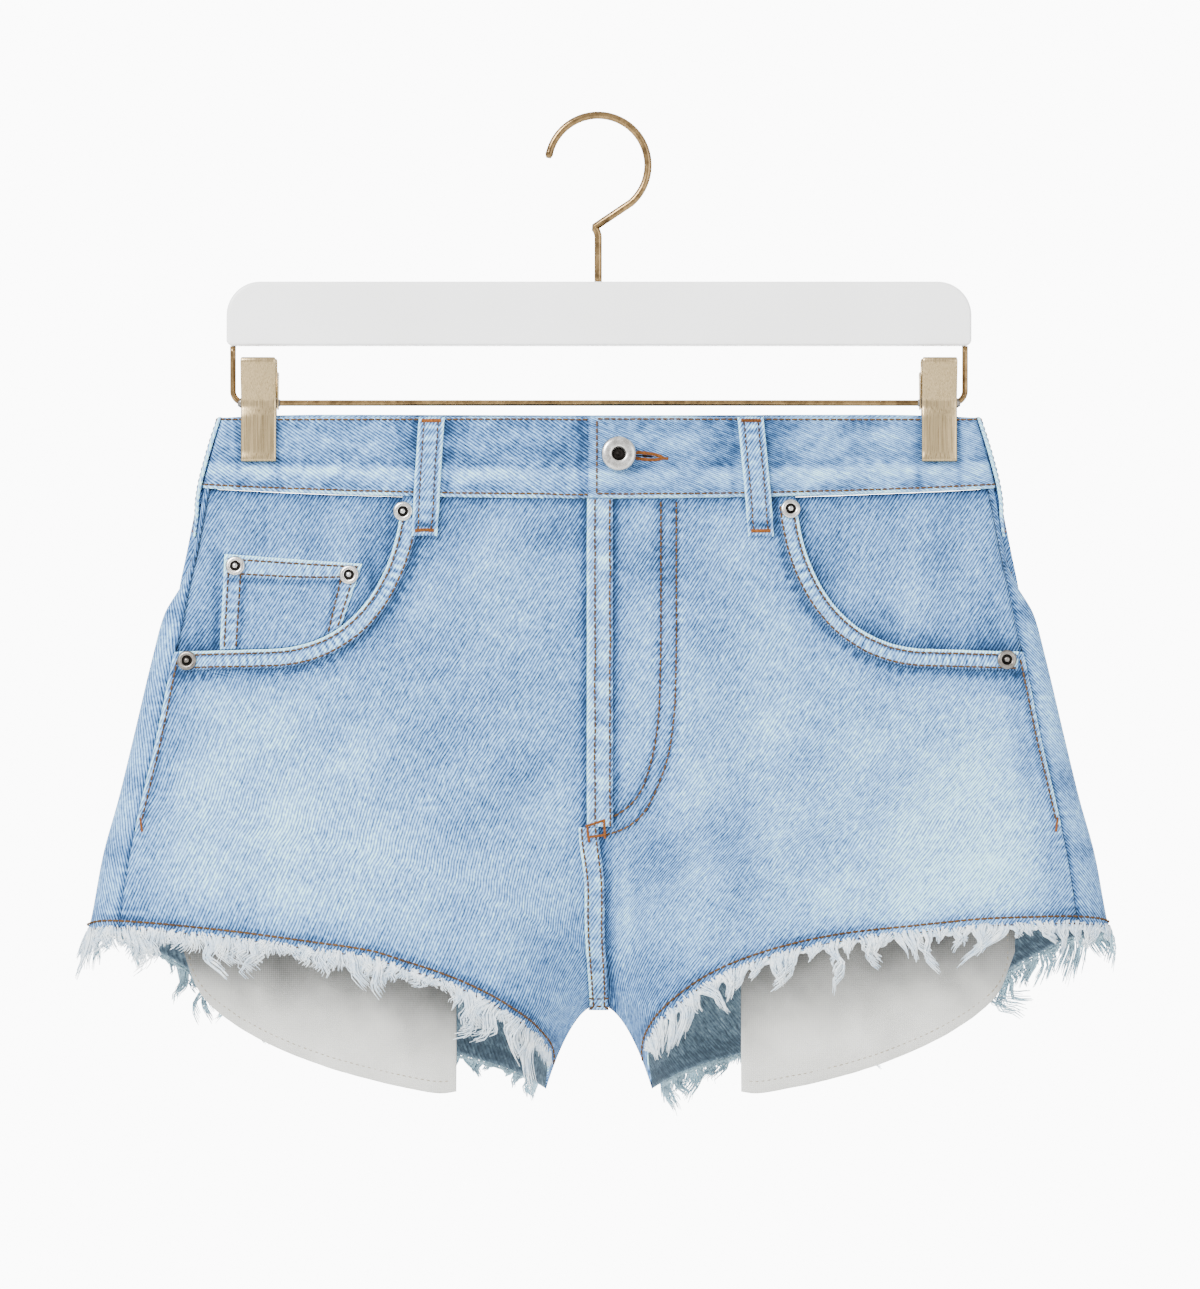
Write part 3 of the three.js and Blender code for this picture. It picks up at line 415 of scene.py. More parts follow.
def make_mesh(name, points, faces, uv=None, tone=None, inner_from=None):
    """A mesh object from points in millimetres and face rows of 3 or 4, turned to face outwards by the sign
    of its volume. uv is per point, in millimetres, and tone is a number per point. Faces from inner_from on
    are the cloth's wrong side and take the second material."""
    points = np.asarray(points, float)
    faces = np.asarray(faces)
    fan = [faces[:, [0, 1, 2]]]
    if faces.shape[1] == 4:
        fan.append(faces[:, [0, 2, 3]])
    tri = np.concatenate(fan)
    a, b, c = (points[tri[:, k]] for k in range(3))
    if np.einsum("ij,ij->i", a, np.cross(b, c)).sum() < 0:
        faces = faces[:, ::-1]
    mesh = bpy.data.meshes.new(name)
    mesh.from_pydata((points * MM).tolist(), [], faces.tolist())
    mesh.polygons.foreach_set("use_smooth", np.ones(len(faces), bool))
    if inner_from is not None:
        index = np.zeros(len(faces), np.int32)
        index[inner_from:] = 1
        mesh.polygons.foreach_set("material_index", index)
    if uv is not None:
        corners = np.empty(len(mesh.loops), np.int32)
        mesh.loops.foreach_get("vertex_index", corners)
        layer = mesh.uv_layers.new(name="cloth")
        layer.data.foreach_set("uv", (np.asarray(uv)[corners] * MM).ravel())
    if tone is not None:
        wash_and_shade = mesh.attributes.new("tone", "FLOAT", "POINT")
        wash_and_shade.data.foreach_set("value", np.asarray(tone, np.float32).ravel())
    mesh.update()
    return place_object(name, mesh)


def grid_faces(columns, rows, start, wrap=False):
    """The quads of a grid of points numbered column by column from start, closed round if wrap."""
    count = columns if wrap else columns - 1
    i, j = np.meshgrid(np.arange(count), np.arange(rows - 1), indexing="ij")
    a = start + i * rows + j
    b = start + ((i + 1) % columns) * rows + j
    return np.stack((a, b, b + 1, a + 1), -1).reshape(-1, 4)


def cloth_wall(name, across, down, place, outer, inner, tone, soft=0.3):
    """A closed wall of cloth. place(s, t, lift) gives its points: one grid at lift outer, one at inner, and
    a rim between them. The outermost line of both grids is drawn together by soft of the thickness, so the
    cut edge is rounded. tone(s, t, points) is the wash with painted light and shade, from 0 deep blue to 1
    white."""
    s, t = np.meshgrid(np.asarray(across, float), np.asarray(down, float), indexing="ij")
    border = np.zeros(s.shape)
    border[[0, -1], :] = 1
    border[:, [0, -1]] = 1
    pull = border * soft * (outer - inner)
    front = place(s, t, outer - pull)
    back = place(s, t, inner + pull)
    columns, rows = s.shape
    count = columns * rows
    front_faces = grid_faces(columns, rows, 0)
    back_faces = grid_faces(columns, rows, count)[:, ::-1]
    ring = np.concatenate((np.arange(columns) * rows, (columns - 1) * rows + np.arange(1, rows),
                           np.arange(columns - 2, -1, -1) * rows + rows - 1, np.arange(rows - 2, 0, -1)))
    after = np.roll(ring, -1)
    rim = np.stack((ring, ring + count, after + count, after), -1)
    run = np.linalg.norm(np.diff(front[..., :2], axis=0), axis=-1)
    direction = np.sign(front[-1, :, 0] - front[0, :, 0]).sum() or 1
    arc = np.concatenate((np.zeros((1, rows)), np.cumsum(run, axis=0))) * np.sign(direction)
    uv = np.stack((front[:1, :, 0] + arc, front[..., 2]), -1).reshape(-1, 2)
    wash_and_shade = np.broadcast_to(tone(s, t, front), s.shape).ravel()
    points = np.concatenate((front.reshape(-1, 3), back.reshape(-1, 3)))
    faces = np.concatenate((front_faces, rim, back_faces))
    return make_mesh(name, points, faces, np.concatenate((uv, uv)), np.concatenate((wash_and_shade, wash_and_shade)),
                     len(front_faces) + len(rim))


def edged(count, size, lip=0.6):
    """Shares from 0 to 1 with one close to each end, lip millimetres in on a piece size long."""
    inset = min(0.25, lip / size)
    return np.concatenate(([0], np.linspace(inset, 1 - inset, count), [1]))


def lathe(name, profile, foot, axis, sides=40, dark=None):
    """A turned piece: each radius and height of the profile swept round axis from foot. The rows of the
    profile from dark's first to its last take the second material."""
    axis = unit(np.asarray(axis, float))
    helper = np.array((0.0, 0.0, 1.0)) if abs(axis[2]) < 0.9 else np.array((1.0, 0.0, 0.0))
    first = unit(np.cross(helper, axis))
    second = np.cross(axis, first)
    angle = np.arange(sides) * 2 * math.pi / sides
    spoke = np.cos(angle)[:, None] * first + np.sin(angle)[:, None] * second
    profile = np.array(profile, float)
    radius = np.maximum(profile[:, 0], 1e-3)
    points = foot + spoke[:, None] * radius[None, :, None] + axis * profile[None, :, 1:2]
    rows = len(profile)
    faces = grid_faces(sides, rows, 0, wrap=True)
    made = make_mesh(name, points.reshape(-1, 3), faces)
    if dark:
        row = np.arange(len(faces)) % (rows - 1)
        second = ((row >= dark[0]) & (row < dark[1])).astype(np.int32)
        made.data.polygons.foreach_set("material_index", second)
    return made


def tube(name, path, radius, sides=12, flat=(0.0, 1.0, 0.0)):
    """A round bar along path. Each ring stands square to the tangent, and its first axis is the tangent
    crossed with flat. radius may differ from point to point, and the ends close to a point."""
    path = np.asarray(path, float)
    tangent = unit(np.gradient(path, axis=0))
    first = unit(np.cross(tangent, flat))
    second = np.cross(first, tangent)
    radius = np.broadcast_to(radius, len(path)).astype(float)
    path = np.concatenate((path[:1], path, path[-1:]))
    first = np.concatenate((first[:1], first, first[-1:]))
    second = np.concatenate((second[:1], second, second[-1:]))
    radius = np.concatenate(([1e-3], radius, [1e-3]))
    angle = np.arange(sides) * 2 * math.pi / sides
    spoke = np.cos(angle)[:, None, None] * first + np.sin(angle)[:, None, None] * second
    points = path + spoke * radius[None, :, None]
    faces = grid_faces(sides, len(path), 0, wrap=True)
    return make_mesh(name, points.reshape(-1, 3), faces)


# The rings of one stitch: place along its half length, share of its radius, and height
STITCH_RINGS = np.array([(-1, 0.35, -0.2), (-0.7, 0.85, -0.02), (0, 1, 0.08), (0.7, 0.85, -0.02),
                         (1, 0.35, -0.2)])
STITCH_SIDES = 5


def ring_quads(rings, sides):
    """The quads of a tube whose points are numbered ring by ring, one array for each gap between rings."""
    k = np.arange(sides)
    after = (k + 1) % sides
    return [np.stack((r * sides + k, r * sides + after, (r + 1) * sides + after, (r + 1) * sides + k), -1)
            for r in range(rings - 1)]


def stitch_points(centre, along, normal, length, radius):
    """Points of many stitches: each a short thread whose rings swell to its middle and dip into the cloth
    at both ends."""
    side = np.cross(along, normal)
    angle = np.arange(STITCH_SIDES) * 2 * math.pi / STITCH_SIDES
    lengthwise, swell, height = STITCH_RINGS.T
    core = (centre[:, None] + along[:, None] * (lengthwise * length / 2)[None, :, None]
            + normal[:, None] * height[None, :, None])
    spoke = (np.cos(angle)[None, :, None] * side[:, None]
             + np.sin(angle)[None, :, None] * normal[:, None])
    rings = core[:, :, None] + spoke[:, None] * (swell * radius)[None, :, None, None]
    return rings.reshape(len(centre), -1, 3)


def stitch_faces(count):
    """The quads and the triangles of count stitches. Each end cap is one of both."""
    rings = len(STITCH_RINGS)
    last = (rings - 1) * STITCH_SIDES
    caps = np.array([(0, 4, 3, 2), (last + 2, last + 3, last + 4, last)])
    one = np.concatenate(ring_quads(rings, STITCH_SIDES) + [caps])
    offset = np.arange(count)[:, None, None] * rings * STITCH_SIDES
    tri = np.array([(0, 2, 1), (last, last + 1, last + 2)])
    return (one[None] + offset).reshape(-1, 4), (tri[None] + offset).reshape(-1, 3)


class Thread:
    """Gathers stitches for one mesh."""

    def __init__(self, name):
        self.name = name
        self.points = []

    def row(self, points, normals, length=3.0, gap=0.25, radius=0.54, slant=0.0):
        """Even stitches along a dense line of points, each turned by slant from the line."""
        run = distances(points)
        count = max(1, int(run[-1] / (length + gap)))
        centre_at = (np.arange(count) + 0.5) * run[-1] / count

        def read(values, at):
            return np.stack([np.interp(at, run, values[:, k]) for k in range(3)], -1)

        centre = read(points, centre_at)
        along = unit(read(points, centre_at + 0.6) - read(points, centre_at - 0.6))
        normal = read(normals, centre_at)
        normal = unit(normal - along * (normal * along).sum(1, keepdims=True))
        turned = along * math.cos(slant) + np.cross(normal, along) * math.sin(slant)
        self.points.append(stitch_points(centre, turned, normal, length, radius))

    def path(self, place, s, t, lift, **kind):
        """A row along place(s, t) at that lift."""
        s, t = floats(s, t)
        points = place(s, t, np.full(s.shape, float(lift)))
        self.row(points, place(s, t, np.full(s.shape, lift + 1.0)) - points, **kind)

    def tack(self, place, s, t, lift, width, **kind):
        """A bar tack: tight stitches of that width laid square across the line place(s, t)."""
        self.path(place, s, t, lift, length=width, gap=0.6 - width, radius=0.38, slant=math.pi / 2, **kind)

    def finish(self):
        """Makes the mesh of all the gathered stitches."""
        points = np.concatenate(self.points)
        quads, tris = stitch_faces(len(points))
        mesh = bpy.data.meshes.new(self.name)
        mesh.from_pydata((points.reshape(-1, 3) * MM).tolist(), [], quads.tolist() + tris.tolist())
        mesh.polygons.foreach_set("use_smooth", np.ones(len(mesh.polygons), bool))
        mesh.update()
        return place_object(self.name, mesh)


def on_front(x, z, lift):
    """A place on the front for rows of stitches, with x and z as its two numbers."""
    return on_face("front", x, z, lift)


def on_back(x, z, lift):
    """A place on the back, with x and z as its two numbers."""
    return on_face("back", x, z, lift)


# Materials
def rgb(hex_colour):
    """An sRGB hex colour as linear red, green and blue, with alpha 1."""
    value = [int(hex_colour[i:i + 2], 16) / 255 for i in (1, 3, 5)]
    return [v / 12.92 if v <= 0.04045 else ((v + 0.055) / 1.055) ** 2.4 for v in value] + [1.0]


def add(tree, kind, settings=None, **links):
    """Adds a node, sets its properties and sockets, and links output sockets to its inputs. A setting whose
    name is a socket sets that socket."""
    node = tree.nodes.new(kind)
    for key, value in (settings or {}).items():
        if key in node.inputs:
            node.inputs[key].default_value = value
        else:
            setattr(node, key, value)
    for key, value in links.items():
        tree.links.new(value, node.inputs[key.replace("_", " ")])
    return node


def new_material(name, **sockets):
    """A material whose Principled shader has those sockets set, with its tree and the shader."""
    made = bpy.data.materials.new(name)
    made.use_nodes = True
    shader = made.node_tree.nodes["Principled BSDF"]
    for key, value in sockets.items():
        shader.inputs[key.replace("_", " ")].default_value = value
    return made, made.node_tree, shader


def colour_steps(tree, factor, steps):
    """A colour ramp over (position, hex colour) steps."""
    node = add(tree, "ShaderNodeValToRGB", None, Fac=factor)
    ramp_points = node.color_ramp.elements
    while len(ramp_points) < len(steps):
        ramp_points.new(0.5)
    for point, (position, colour) in zip(ramp_points, steps):
        point.position = position
        point.color = rgb(colour)
    return node.outputs["Color"]


def blend_numbers(tree, operation, a, b):
    """A Math node on two sockets or numbers."""
    node = add(tree, "ShaderNodeMath", {"operation": operation})
    for socket, value in zip(node.inputs, (a, b)):
        if isinstance(value, (int, float)):
            socket.default_value = value
        else:
            tree.links.new(value, socket)
    return node.outputs[0]


def add_up(tree, terms, total=None):
    """The sum of sockets, each times its number, on top of total."""
    for source, amount in terms:
        part = blend_numbers(tree, "MULTIPLY", source, amount)
        total = part if total is None else blend_numbers(tree, "ADD", total, part)
    return total


def noise(tree, where, scale, detail, roughness=0.5):
    """A noise texture's value."""
    return add(tree, "ShaderNodeTexNoise", {"Scale": scale, "Detail": detail, "Roughness": roughness},
               Vector=where).outputs["Fac"]


def cloth_inputs(tree):
    """The cloth's UV, which is in metres, and its tone."""
    uv = add(tree, "ShaderNodeUVMap", {"uv_map": "cloth"}).outputs["UV"]
    return uv, add(tree, "ShaderNodeAttribute", {"attribute_name": "tone"}).outputs["Fac"]


def own_place(tree):
    """The piece's own coordinates, in metres."""
    return add(tree, "ShaderNodeTexCoord").outputs["Object"]


def paint(tree, shader, factor, steps):
    """Gives the shader a colour from steps."""
    tree.links.new(colour_steps(tree, factor, steps), shader.inputs["Base Color"])


def roughen(tree, shader, height, strength, distance):
    """Gives the shader a bump of that distance in metres."""
    bump = add(tree, "ShaderNodeBump", {"Strength": strength, "Distance": distance}, Height=height)
    tree.links.new(bump.outputs["Normal"], shader.inputs["Normal"])


# The wash, from indigo left in the seams to yarn worn white
WASH = [(0.00, "#122a45"), (0.14, "#224064"), (0.28, "#375782"), (0.43, "#4f729f"),
        (0.58, "#6992c1"), (0.73, "#82aede"), (0.88, "#9acdf0"), (1.00, "#bef7f7")]
# The wrong side's colours are painted darker than bare twill, for the shade inside the legs
WASH_INSIDE_SHADED = [(0, "#323f4c"), (0.4, "#4d5e6c"), (0.7, "#768d9e"), (1, "#bcdae5")]
LINING_STEPS = [(0, "#636361"), (0.25, "#959592"), (0.5, "#b7b7b2"), (0.8, "#d2d2cd")]
TWILL_MM = 1.45
# A wave texture of scale WAVE_METRE / d repeats every d metres
WAVE_METRE = 0.314


def washed_twill(name, steps, slant, contrast=0.5):
    """Stone-washed 12 oz indigo twill: ring-spun warp over white weft, so blue ridges run up the cloth at
    a slant with paler valleys and small white slubs. Real ridges stand 0.9 mm apart, and here 1.45 mm, the
    finest that shows. slant is the ridges' angle from the horizontal, in degrees."""
    made, tree, shader = new_material(name, Roughness=0.95, Sheen_Weight=0.06, Sheen_Roughness=0.5,
                                      Specular_IOR_Level=0.12)
    uv, total = cloth_inputs(tree)
    across = (0, 0, math.radians(90 - slant))
    turned = add(tree, "ShaderNodeMapping", {"Rotation": across}, Vector=uv).outputs[0]
    ridges = add(tree, "ShaderNodeTexWave", {"Scale": WAVE_METRE / (TWILL_MM * MM), "Distortion": 1.6,
                                             "Detail": 1.0, "Detail Scale": 0.6},
                 Vector=turned).outputs["Fac"]
    streaked = add(tree, "ShaderNodeMapping", {"Scale": (1, 0.22, 1)}, Vector=turned).outputs[0]
    slubs = noise(tree, streaked, 720, 3, 0.7)
    specks = noise(tree, uv, 420, 2, 0.6)
    clouds = noise(tree, uv, 60, 4, 0.6)
    for source, amount in ((ridges, contrast), (slubs, 0.9), (specks, 0.6), (clouds, 0.18)):
        centred = blend_numbers(tree, "SUBTRACT", source, 0.5)
        total = add_up(tree, [(centred, amount)], total)
    paint(tree, shader, total, steps)
    height = blend_numbers(tree, "ADD", blend_numbers(tree, "MULTIPLY", ridges, 0.6), slubs)
    roughen(tree, shader, height, 0.5, 0.0005)
    return made


def lining_cotton():
    """Plain-woven 120 g pocketing, bleached and washed: fine crossed threads 0.6 mm apart, drawn at 1 mm,
    with soft creases. It is greyer where tone is less than 1."""
    made, tree, shader = new_material("pocketing_cotton_plain_weave", Roughness=0.95, Sheen_Weight=0.2,
                                      Specular_IOR_Level=0.2)
    uv, tone = cloth_inputs(tree)
    turned = add(tree, "ShaderNodeMapping", {"Rotation": (0, 0, math.pi / 2)}, Vector=uv).outputs[0]
    threads = {"Scale": WAVE_METRE / MM, "Distortion": 0.8}
    warp = add(tree, "ShaderNodeTexWave", threads, Vector=uv).outputs["Fac"]
    weft = add(tree, "ShaderNodeTexWave", threads, Vector=turned).outputs["Fac"]
    weave = blend_numbers(tree, "ADD", warp, weft)
    clouds = noise(tree, uv, 40, 4)
    greyed = blend_numbers(tree, "SUBTRACT", tone, 0.72)
    paint(tree, shader, add_up(tree, [(weave, 0.05), (clouds, 0.46)], greyed), LINING_STEPS)
    roughen(tree, shader, weave, 0.25, 0.0003)
    return made


def sewing_thread(name, dark, light):
    """Spun polyester topstitching thread, three plies, whose twist shows as fine changes of tone."""
    made, tree, shader = new_material(name, Roughness=0.85, Specular_IOR_Level=0.12)
    where = own_place(tree)
    plies = noise(tree, where, 1400, 2)
    worn = noise(tree, where, 45, 3)
    paint(tree, shader, add_up(tree, [(plies, 0.6), (worn, 0.5)]), [(0.3, dark), (0.8, light)])
    return made


def weft_yarn(name, dark, light):
    """Loose undyed cotton weft from the ravelled hem: matt, hairy and slightly blue from the wash."""
    made, tree, shader = new_material(name, Roughness=1.0, Sheen_Weight=0.1, Specular_IOR_Level=0.1,
                                      Subsurface_Weight=0.1, Subsurface_Radius=(0.002, 0.002, 0.002))
    where = own_place(tree)
    fibre = noise(tree, where, 900, 3)
    locks = noise(tree, where, 160, 2)
    paint(tree, shader, add_up(tree, [(fibre, 0.5), (locks, 0.5)]), [(0.3, dark), (0.65, light)])
    roughen(tree, shader, fibre, 0.4, 0.0002)
    return made


def plated_metal(name, dark, light, roughness, grain=(1, 1, 1), scale=300, contrast=0.5):
    """Plated metal with tarnish in cloudy patches and fine marks along grain."""
    made, tree, shader = new_material(name, Metallic=1.0)
    where = own_place(tree)
    stretched = add(tree, "ShaderNodeMapping", {"Scale": grain}, Vector=where).outputs[0]
    marks = noise(tree, stretched, scale * 6, 3)
    tarnish = noise(tree, where, scale, 4)
    mixed = add_up(tree, [(marks, contrast), (tarnish, 1 - contrast)])
    paint(tree, shader, mixed, [(0.3, dark), (0.7, light)])
    rough = add(tree, "ShaderNodeMapRange", {"From Min": 0.3, "From Max": 0.7, "To Min": roughness * 0.75,
                                             "To Max": roughness * 1.3}, Value=mixed).outputs[0]
    tree.links.new(rough, shader.inputs["Roughness"])
    roughen(tree, shader, marks, 0.12, 0.0001)
    return made


def white_lacquer():
    """Satin white lacquer sprayed on a flat hanger: even, with the faintest orange peel."""
    made, tree, shader = new_material("satin_white_lacquer", Roughness=0.35, Coat_Weight=0.3,
                                      Coat_Roughness=0.25)
    where = own_place(tree)
    paint(tree, shader, noise(tree, where, 12, 2), [(0.3, "#f3f3f2"), (0.7, "#fafafa")])
    roughen(tree, shader, noise(tree, where, 500, 1), 0.05, 0.0002)
    return made


DENIM_FACE = washed_twill("indigo_twill_stone_washed", WASH, 57)
BAND_FACE = washed_twill("indigo_twill_cut_crosswise", WASH, 145, contrast=0.46)
# The cloth's wrong side, painted darker for the shade inside the legs
DENIM_INSIDE_SHADED = washed_twill("indigo_twill_wrong_side_painted_shade", WASH_INSIDE_SHADED, 123, contrast=0.1)
LINING = lining_cotton()
TOPSTITCH = sewing_thread("topstitch_thread_brown", "#2e2318", "#654a2d")
TACK_THREAD = sewing_thread("bar_tack_thread_tan", "#432c16", "#945727")
LINING_THREAD = sewing_thread("lining_thread_ecru", "#7b715f", "#a29783")
FRONT_YARN = weft_yarn("ravelled_weft_yarn", "#a4bfd8", "#f2f7f7")
# The back hems' yarns are painted darker, for the shade inside the legs
BACK_YARN = weft_yarn("ravelled_weft_yarn_shaded", "#6b7f90", "#c6e9f7")
NICKEL = plated_metal("nickel_plated_brass", "#8d8a86", "#dedcd8", 0.28)
GUNMETAL = plated_metal("gunmetal_plated_brass", "#4c4844", "#918b84", 0.34)
HOLE = plated_metal("button_core_blackened", "#0c0b0a", "#24211f", 0.5)
WIRE_BRASS = plated_metal("antique_brass_drawn_wire", "#493a28", "#9e8156", 0.24, scale=60)
CLIP_BRASS = plated_metal("antique_brass_brushed_sheet", "#8c7a59", "#b8a27b", 0.3, grain=(1, 1, 0.02),
                          scale=400, contrast=0.92)
LACQUER = white_lacquer()


def dress(thing, *materials):
    """Gives a piece its materials."""
    for made in materials:
        thing.data.materials.append(made)
    return thing


def settle(thing, slot, *nodes):
    """The piece moves with the body and stands for those solids. slot is not used."""
    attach(thing, "root")
    if nodes:
        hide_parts(*nodes)
    return thing


def side_name(side):
    """left for -1 and right for 1, as seen from the front."""
    return "left" if side < 0 else "right"


# Patches on the front panels, partly wash and partly painted light and shade: the darker ones by the fly
# and crotch stand for shade, the paler ones on the thighs for light. x, z, reach across and down, turn, and
# how much paler
WASH_AND_SHADE_PATCHES = [
    (-165, -335, 60, 70, 10, 0.07),
    (-120, -372, 90, 34, 0, 0.05),
    (185, -360, 46, 60, -10, 0.16),
    (150, -395, 60, 22, 0, 0.1),
    (-40, -240, 30, 46, 0, 0.05),
    (80, -300, 44, 60, 0, 0.03),
    (-78, -275, 60, 56, 0, -0.08),
    (24, -222, 22, 20, 0, -0.12),
    (26, -366, 20, 16, 0, -0.14),
    (56, -246, 12, 34, 6, -0.1),
    (-80, -206, 22, 12, 0, -0.12),
    (-30, -208, 26, 10, 10, -0.1),
    (-22, -252, 12, 60, 0, -0.09),
    (-60, -345, 30, 40, -20, -0.07),
    (20, -425, 20, 30, 0, -0.07),
    (-22, -430, 26, 28, 0, -0.08),
    (70, -372, 12, 26, 20, -0.1),
]
PATCH_STRENGTH = 1.3


def wash_and_shade_patches(x, z):
    """The sum of soft oval patches, each a bell curve along its two turned axes."""
    total = 0
    for px, pz, wide, tall, turn, amount in WASH_AND_SHADE_PATCHES:
        a = math.radians(turn)
        across = (x - px) * math.cos(a) + (z - pz) * math.sin(a)
        down = (z - pz) * math.cos(a) - (x - px) * math.sin(a)
        total = total + amount * oval(across, down, 0, 0, wide, tall)
    return PATCH_STRENGTH * total


def hem_points(side, turns, lift=0.0, drop=0.0):
    """Points of the raw hem, moved drop millimetres down the cloth: square to the hem, within the cloth."""
    turns = np.asarray(turns, float)

    def on_hem(t, up):
        return round_half(side, hem_turn(side, t), hem_z[side](t), up)

    along = unit(on_hem(turns + 0.002, 0.0) - on_hem(turns - 0.002, 0.0))
    out = on_hem(turns, 1.0) - on_hem(turns, 0.0)
    down = np.cross(along, out) * side
    down *= np.sign(-down[..., 2:3])
    lift, drop = floats(lift, drop)
    return on_hem(turns, lift) + down * drop[..., None], out, down, along


def hem_xz(side, back):
    """The hem of one leg on the front or the back, as a line of x and z."""
    turns = np.linspace(1, 2, 60) if back else np.linspace(0, 1, 60)
    points = hem_points(side, np.clip(turns, 0.003, 1.997))[0]
    return points[:, [0, 2]]


HEM_XZ = {(side, back): hem_xz(side, back) for side in (-1, 1) for back in (False, True)}
scoop_x, scoop_z = scoop(np.linspace(0, 1, 40))
SCOOP_XZ = {side: np.stack((side * scoop_x, scoop_z), -1) for side in (-1, 1)}
SEAM_HEIGHTS = np.linspace(-188, -408, 30)
SEAM_XZ = {side: np.stack((side * section["seam"](SEAM_HEIGHTS), SEAM_HEIGHTS), -1) for side in (-1, 1)}
STITCH_ABOVE_HEM = 4.6


def seam_shade(distance, along, seed, depth=0.16, reach=3.4):
    """Beside a topstitched seam the cloth puckers: rungs that alternate dark and pale, dying away with
    distance, over a band that is darker on the whole."""
    fade = bell(distance, 0, reach)
    return fade * (depth * ladder(along, seed) - 0.5 * depth)


def hem_shade(distance):
    """Above a raw hem: indigo between the raw edge and the stitch row, painted shadow along the row above
    it, and a white raw edge.
    """
    under = -0.2 * bell(distance, 2.4, 1.7)
    over = -0.2 * bell(distance, 6.2, 1.6) - 0.08 * bell(distance, 10, 7)
    return under + over + 0.3 * ramp(0.9, 0.1, distance)


def front_tone(x, z, side):
    """The wash of a front panel with painted light and shade: soft patches of wash, painted shade and
    painted light, the darker rim under the pocket mouth, the puckered seams and hem, indigo and painted
    shadow under the waistband, painted shadow beside the fly's edges, and a painted highlight on the fold by
    the rise seam."""
    tone = 0.57 + wash_and_shade_patches(x, z)
    from_mouth, run = near(x, z, SCOOP_XZ[side])
    rungs = ladder(run, 1.0, 5.0)
    tone = tone - 0.4 * bell(from_mouth - 10.8, 1.3 * rungs, 2.2) * (0.85 + 0.35 * rungs)
    tone = tone - 0.1 * bell(from_mouth, 15, 6)
    from_seam, run = near(x, z, SEAM_XZ[side])
    tone = tone + seam_shade(from_seam, run, 2.0, 0.2, 5) - 0.12 * bell(from_seam, 9, 6)
    pressed_edge = 0.3 * bell(from_seam, 0, 1.2) - 0.22 * bell(from_seam, 3.4, 1.5)
    tone = tone + ramp(-358, -350, z) * pressed_edge
    if side > 0:
        for line, seed in ((FLY_OUTER, 0.4), (FLY_INNER, 1.7)):
            from_row, run = near(x, z, line)
            tone = tone + seam_shade(from_row, run, seed, 0.22, 3.2) - 0.14 * bell(from_row, 0, 1.1)
        tone = tone + 0.1 * bell(x, 41, 1.8) * ramp(-330, -318, z)
    from_hem, run = near(x, z, HEM_XZ[side, False])
    from_stitches = np.abs(from_hem - STITCH_ABOVE_HEM)
    tone = tone + hem_shade(from_hem) + seam_shade(from_stitches, run, 3.0, 0.12, 2.5)
    # Darker under the waistband: indigo left in the seam and painted shadow of the band's edge
    from_waist = np.abs(z - waist_seam_z(x))
    tone = tone - 0.42 * np.exp(-from_waist / 2.6) * (0.85 + 0.3 * ladder(x, 2.2, 6.5))
    tone = tone - 0.1 * np.exp(-from_waist / 10)
    # Painted shadow beside the raised edges of the fly placket and the rise seam
    edge = np.where(x < 0, middle_x(z) - 1.5, middle_x(z) + lerp(12.5, 6.0, ramp(-350, -356, z)))
    tone = tone - 0.34 * bell(x, edge, 2.4) * (0.9 + 0.25 * ladder(z, 1.1, 7))
    tone = tone - 0.09 * bell(x, edge, 9)
    # Paler down the fold right of the rise seam: a worn crease with a painted highlight on it
    tone = tone + 0.16 * oval(x, z, 13, -395, 3.5, 26)
    return tone + 0.035 * waves(x, z * 0.8, 40, 21) + 0.02 * waves(x, z, 12, 22)


# Darker marks beside the side seams, where the back wraps to the front: height and how much darker
SIDE_MARKS = [(-246, 0.26), (-331, 0.2), (-366, 0.2)]


def back_tone(p, side, lower=True):
    """The wash of the back: a pale seat, darker towards seams and hem, with painted shadow under the
    waistband and along the side seam. The part wrapped to the front follows the front's hem."""
    x, y, z = p[..., 0], p[..., 1], p[..., 2]
    tone = 0.58 + 0.1 * oval(np.abs(x), z, 95, -330, 60, 60)
    tone = tone + 0.05 * waves(x, z, 60, 31)
    from_seam, run = near(x, z, SEAM_XZ[side])
    wrapped = ramp(2, -4, y)
    # Darker along the side seam: indigo left in it and painted shadow of the front panel's edge
    beside = seam_shade(from_seam, run, 2.6, 0.14, 4) - 0.3 * bell(from_seam, 0, 1.7)
    for height, amount in SIDE_MARKS:
        beside = beside - amount * oval(z, from_seam, height, 7, 6, 8)
    tone = tone + wrapped * beside
    from_waist = np.abs(z - waist_seam_z(x))
    # Darker under the waistband: indigo left in the seam and painted shadow of the band's edge
    tone = tone - 0.18 * np.exp(-from_waist / 4.5)
    tone = tone + seam_shade(np.abs(x), z, 1.2, 0.14, 5)
    if lower:
        from_hem, _ = near(x, z, HEM_XZ[side, True])
        from_front_hem, _ = near(x, z, HEM_XZ[side, False])
        tone = tone + hem_shade(np.where(y < 0, from_front_hem, from_hem))
    return tone


# Front panels
PANEL_ROWS = 18
CROTCH_ROW = 15 / PANEL_ROWS
CORNER_ROW = 11 / PANEL_ROWS
FLY_EDGE_X = -5.0
SEAM_SHIFT_X = -2.0
HEM_SEAM_TURN = float(turn_at(section["seam"](-405), -405))


def middle_x(z):
    """The line between the front panels: the fly's edge, then the rise seam, then the middle."""
    seam = lerp(SEAM_SHIFT_X, 0.0, ramp(-400, CROTCH_Z, z))
    return lerp(FLY_EDGE_X, seam, ramp(FLY_END_Z, FLY_END_Z - 32, z))


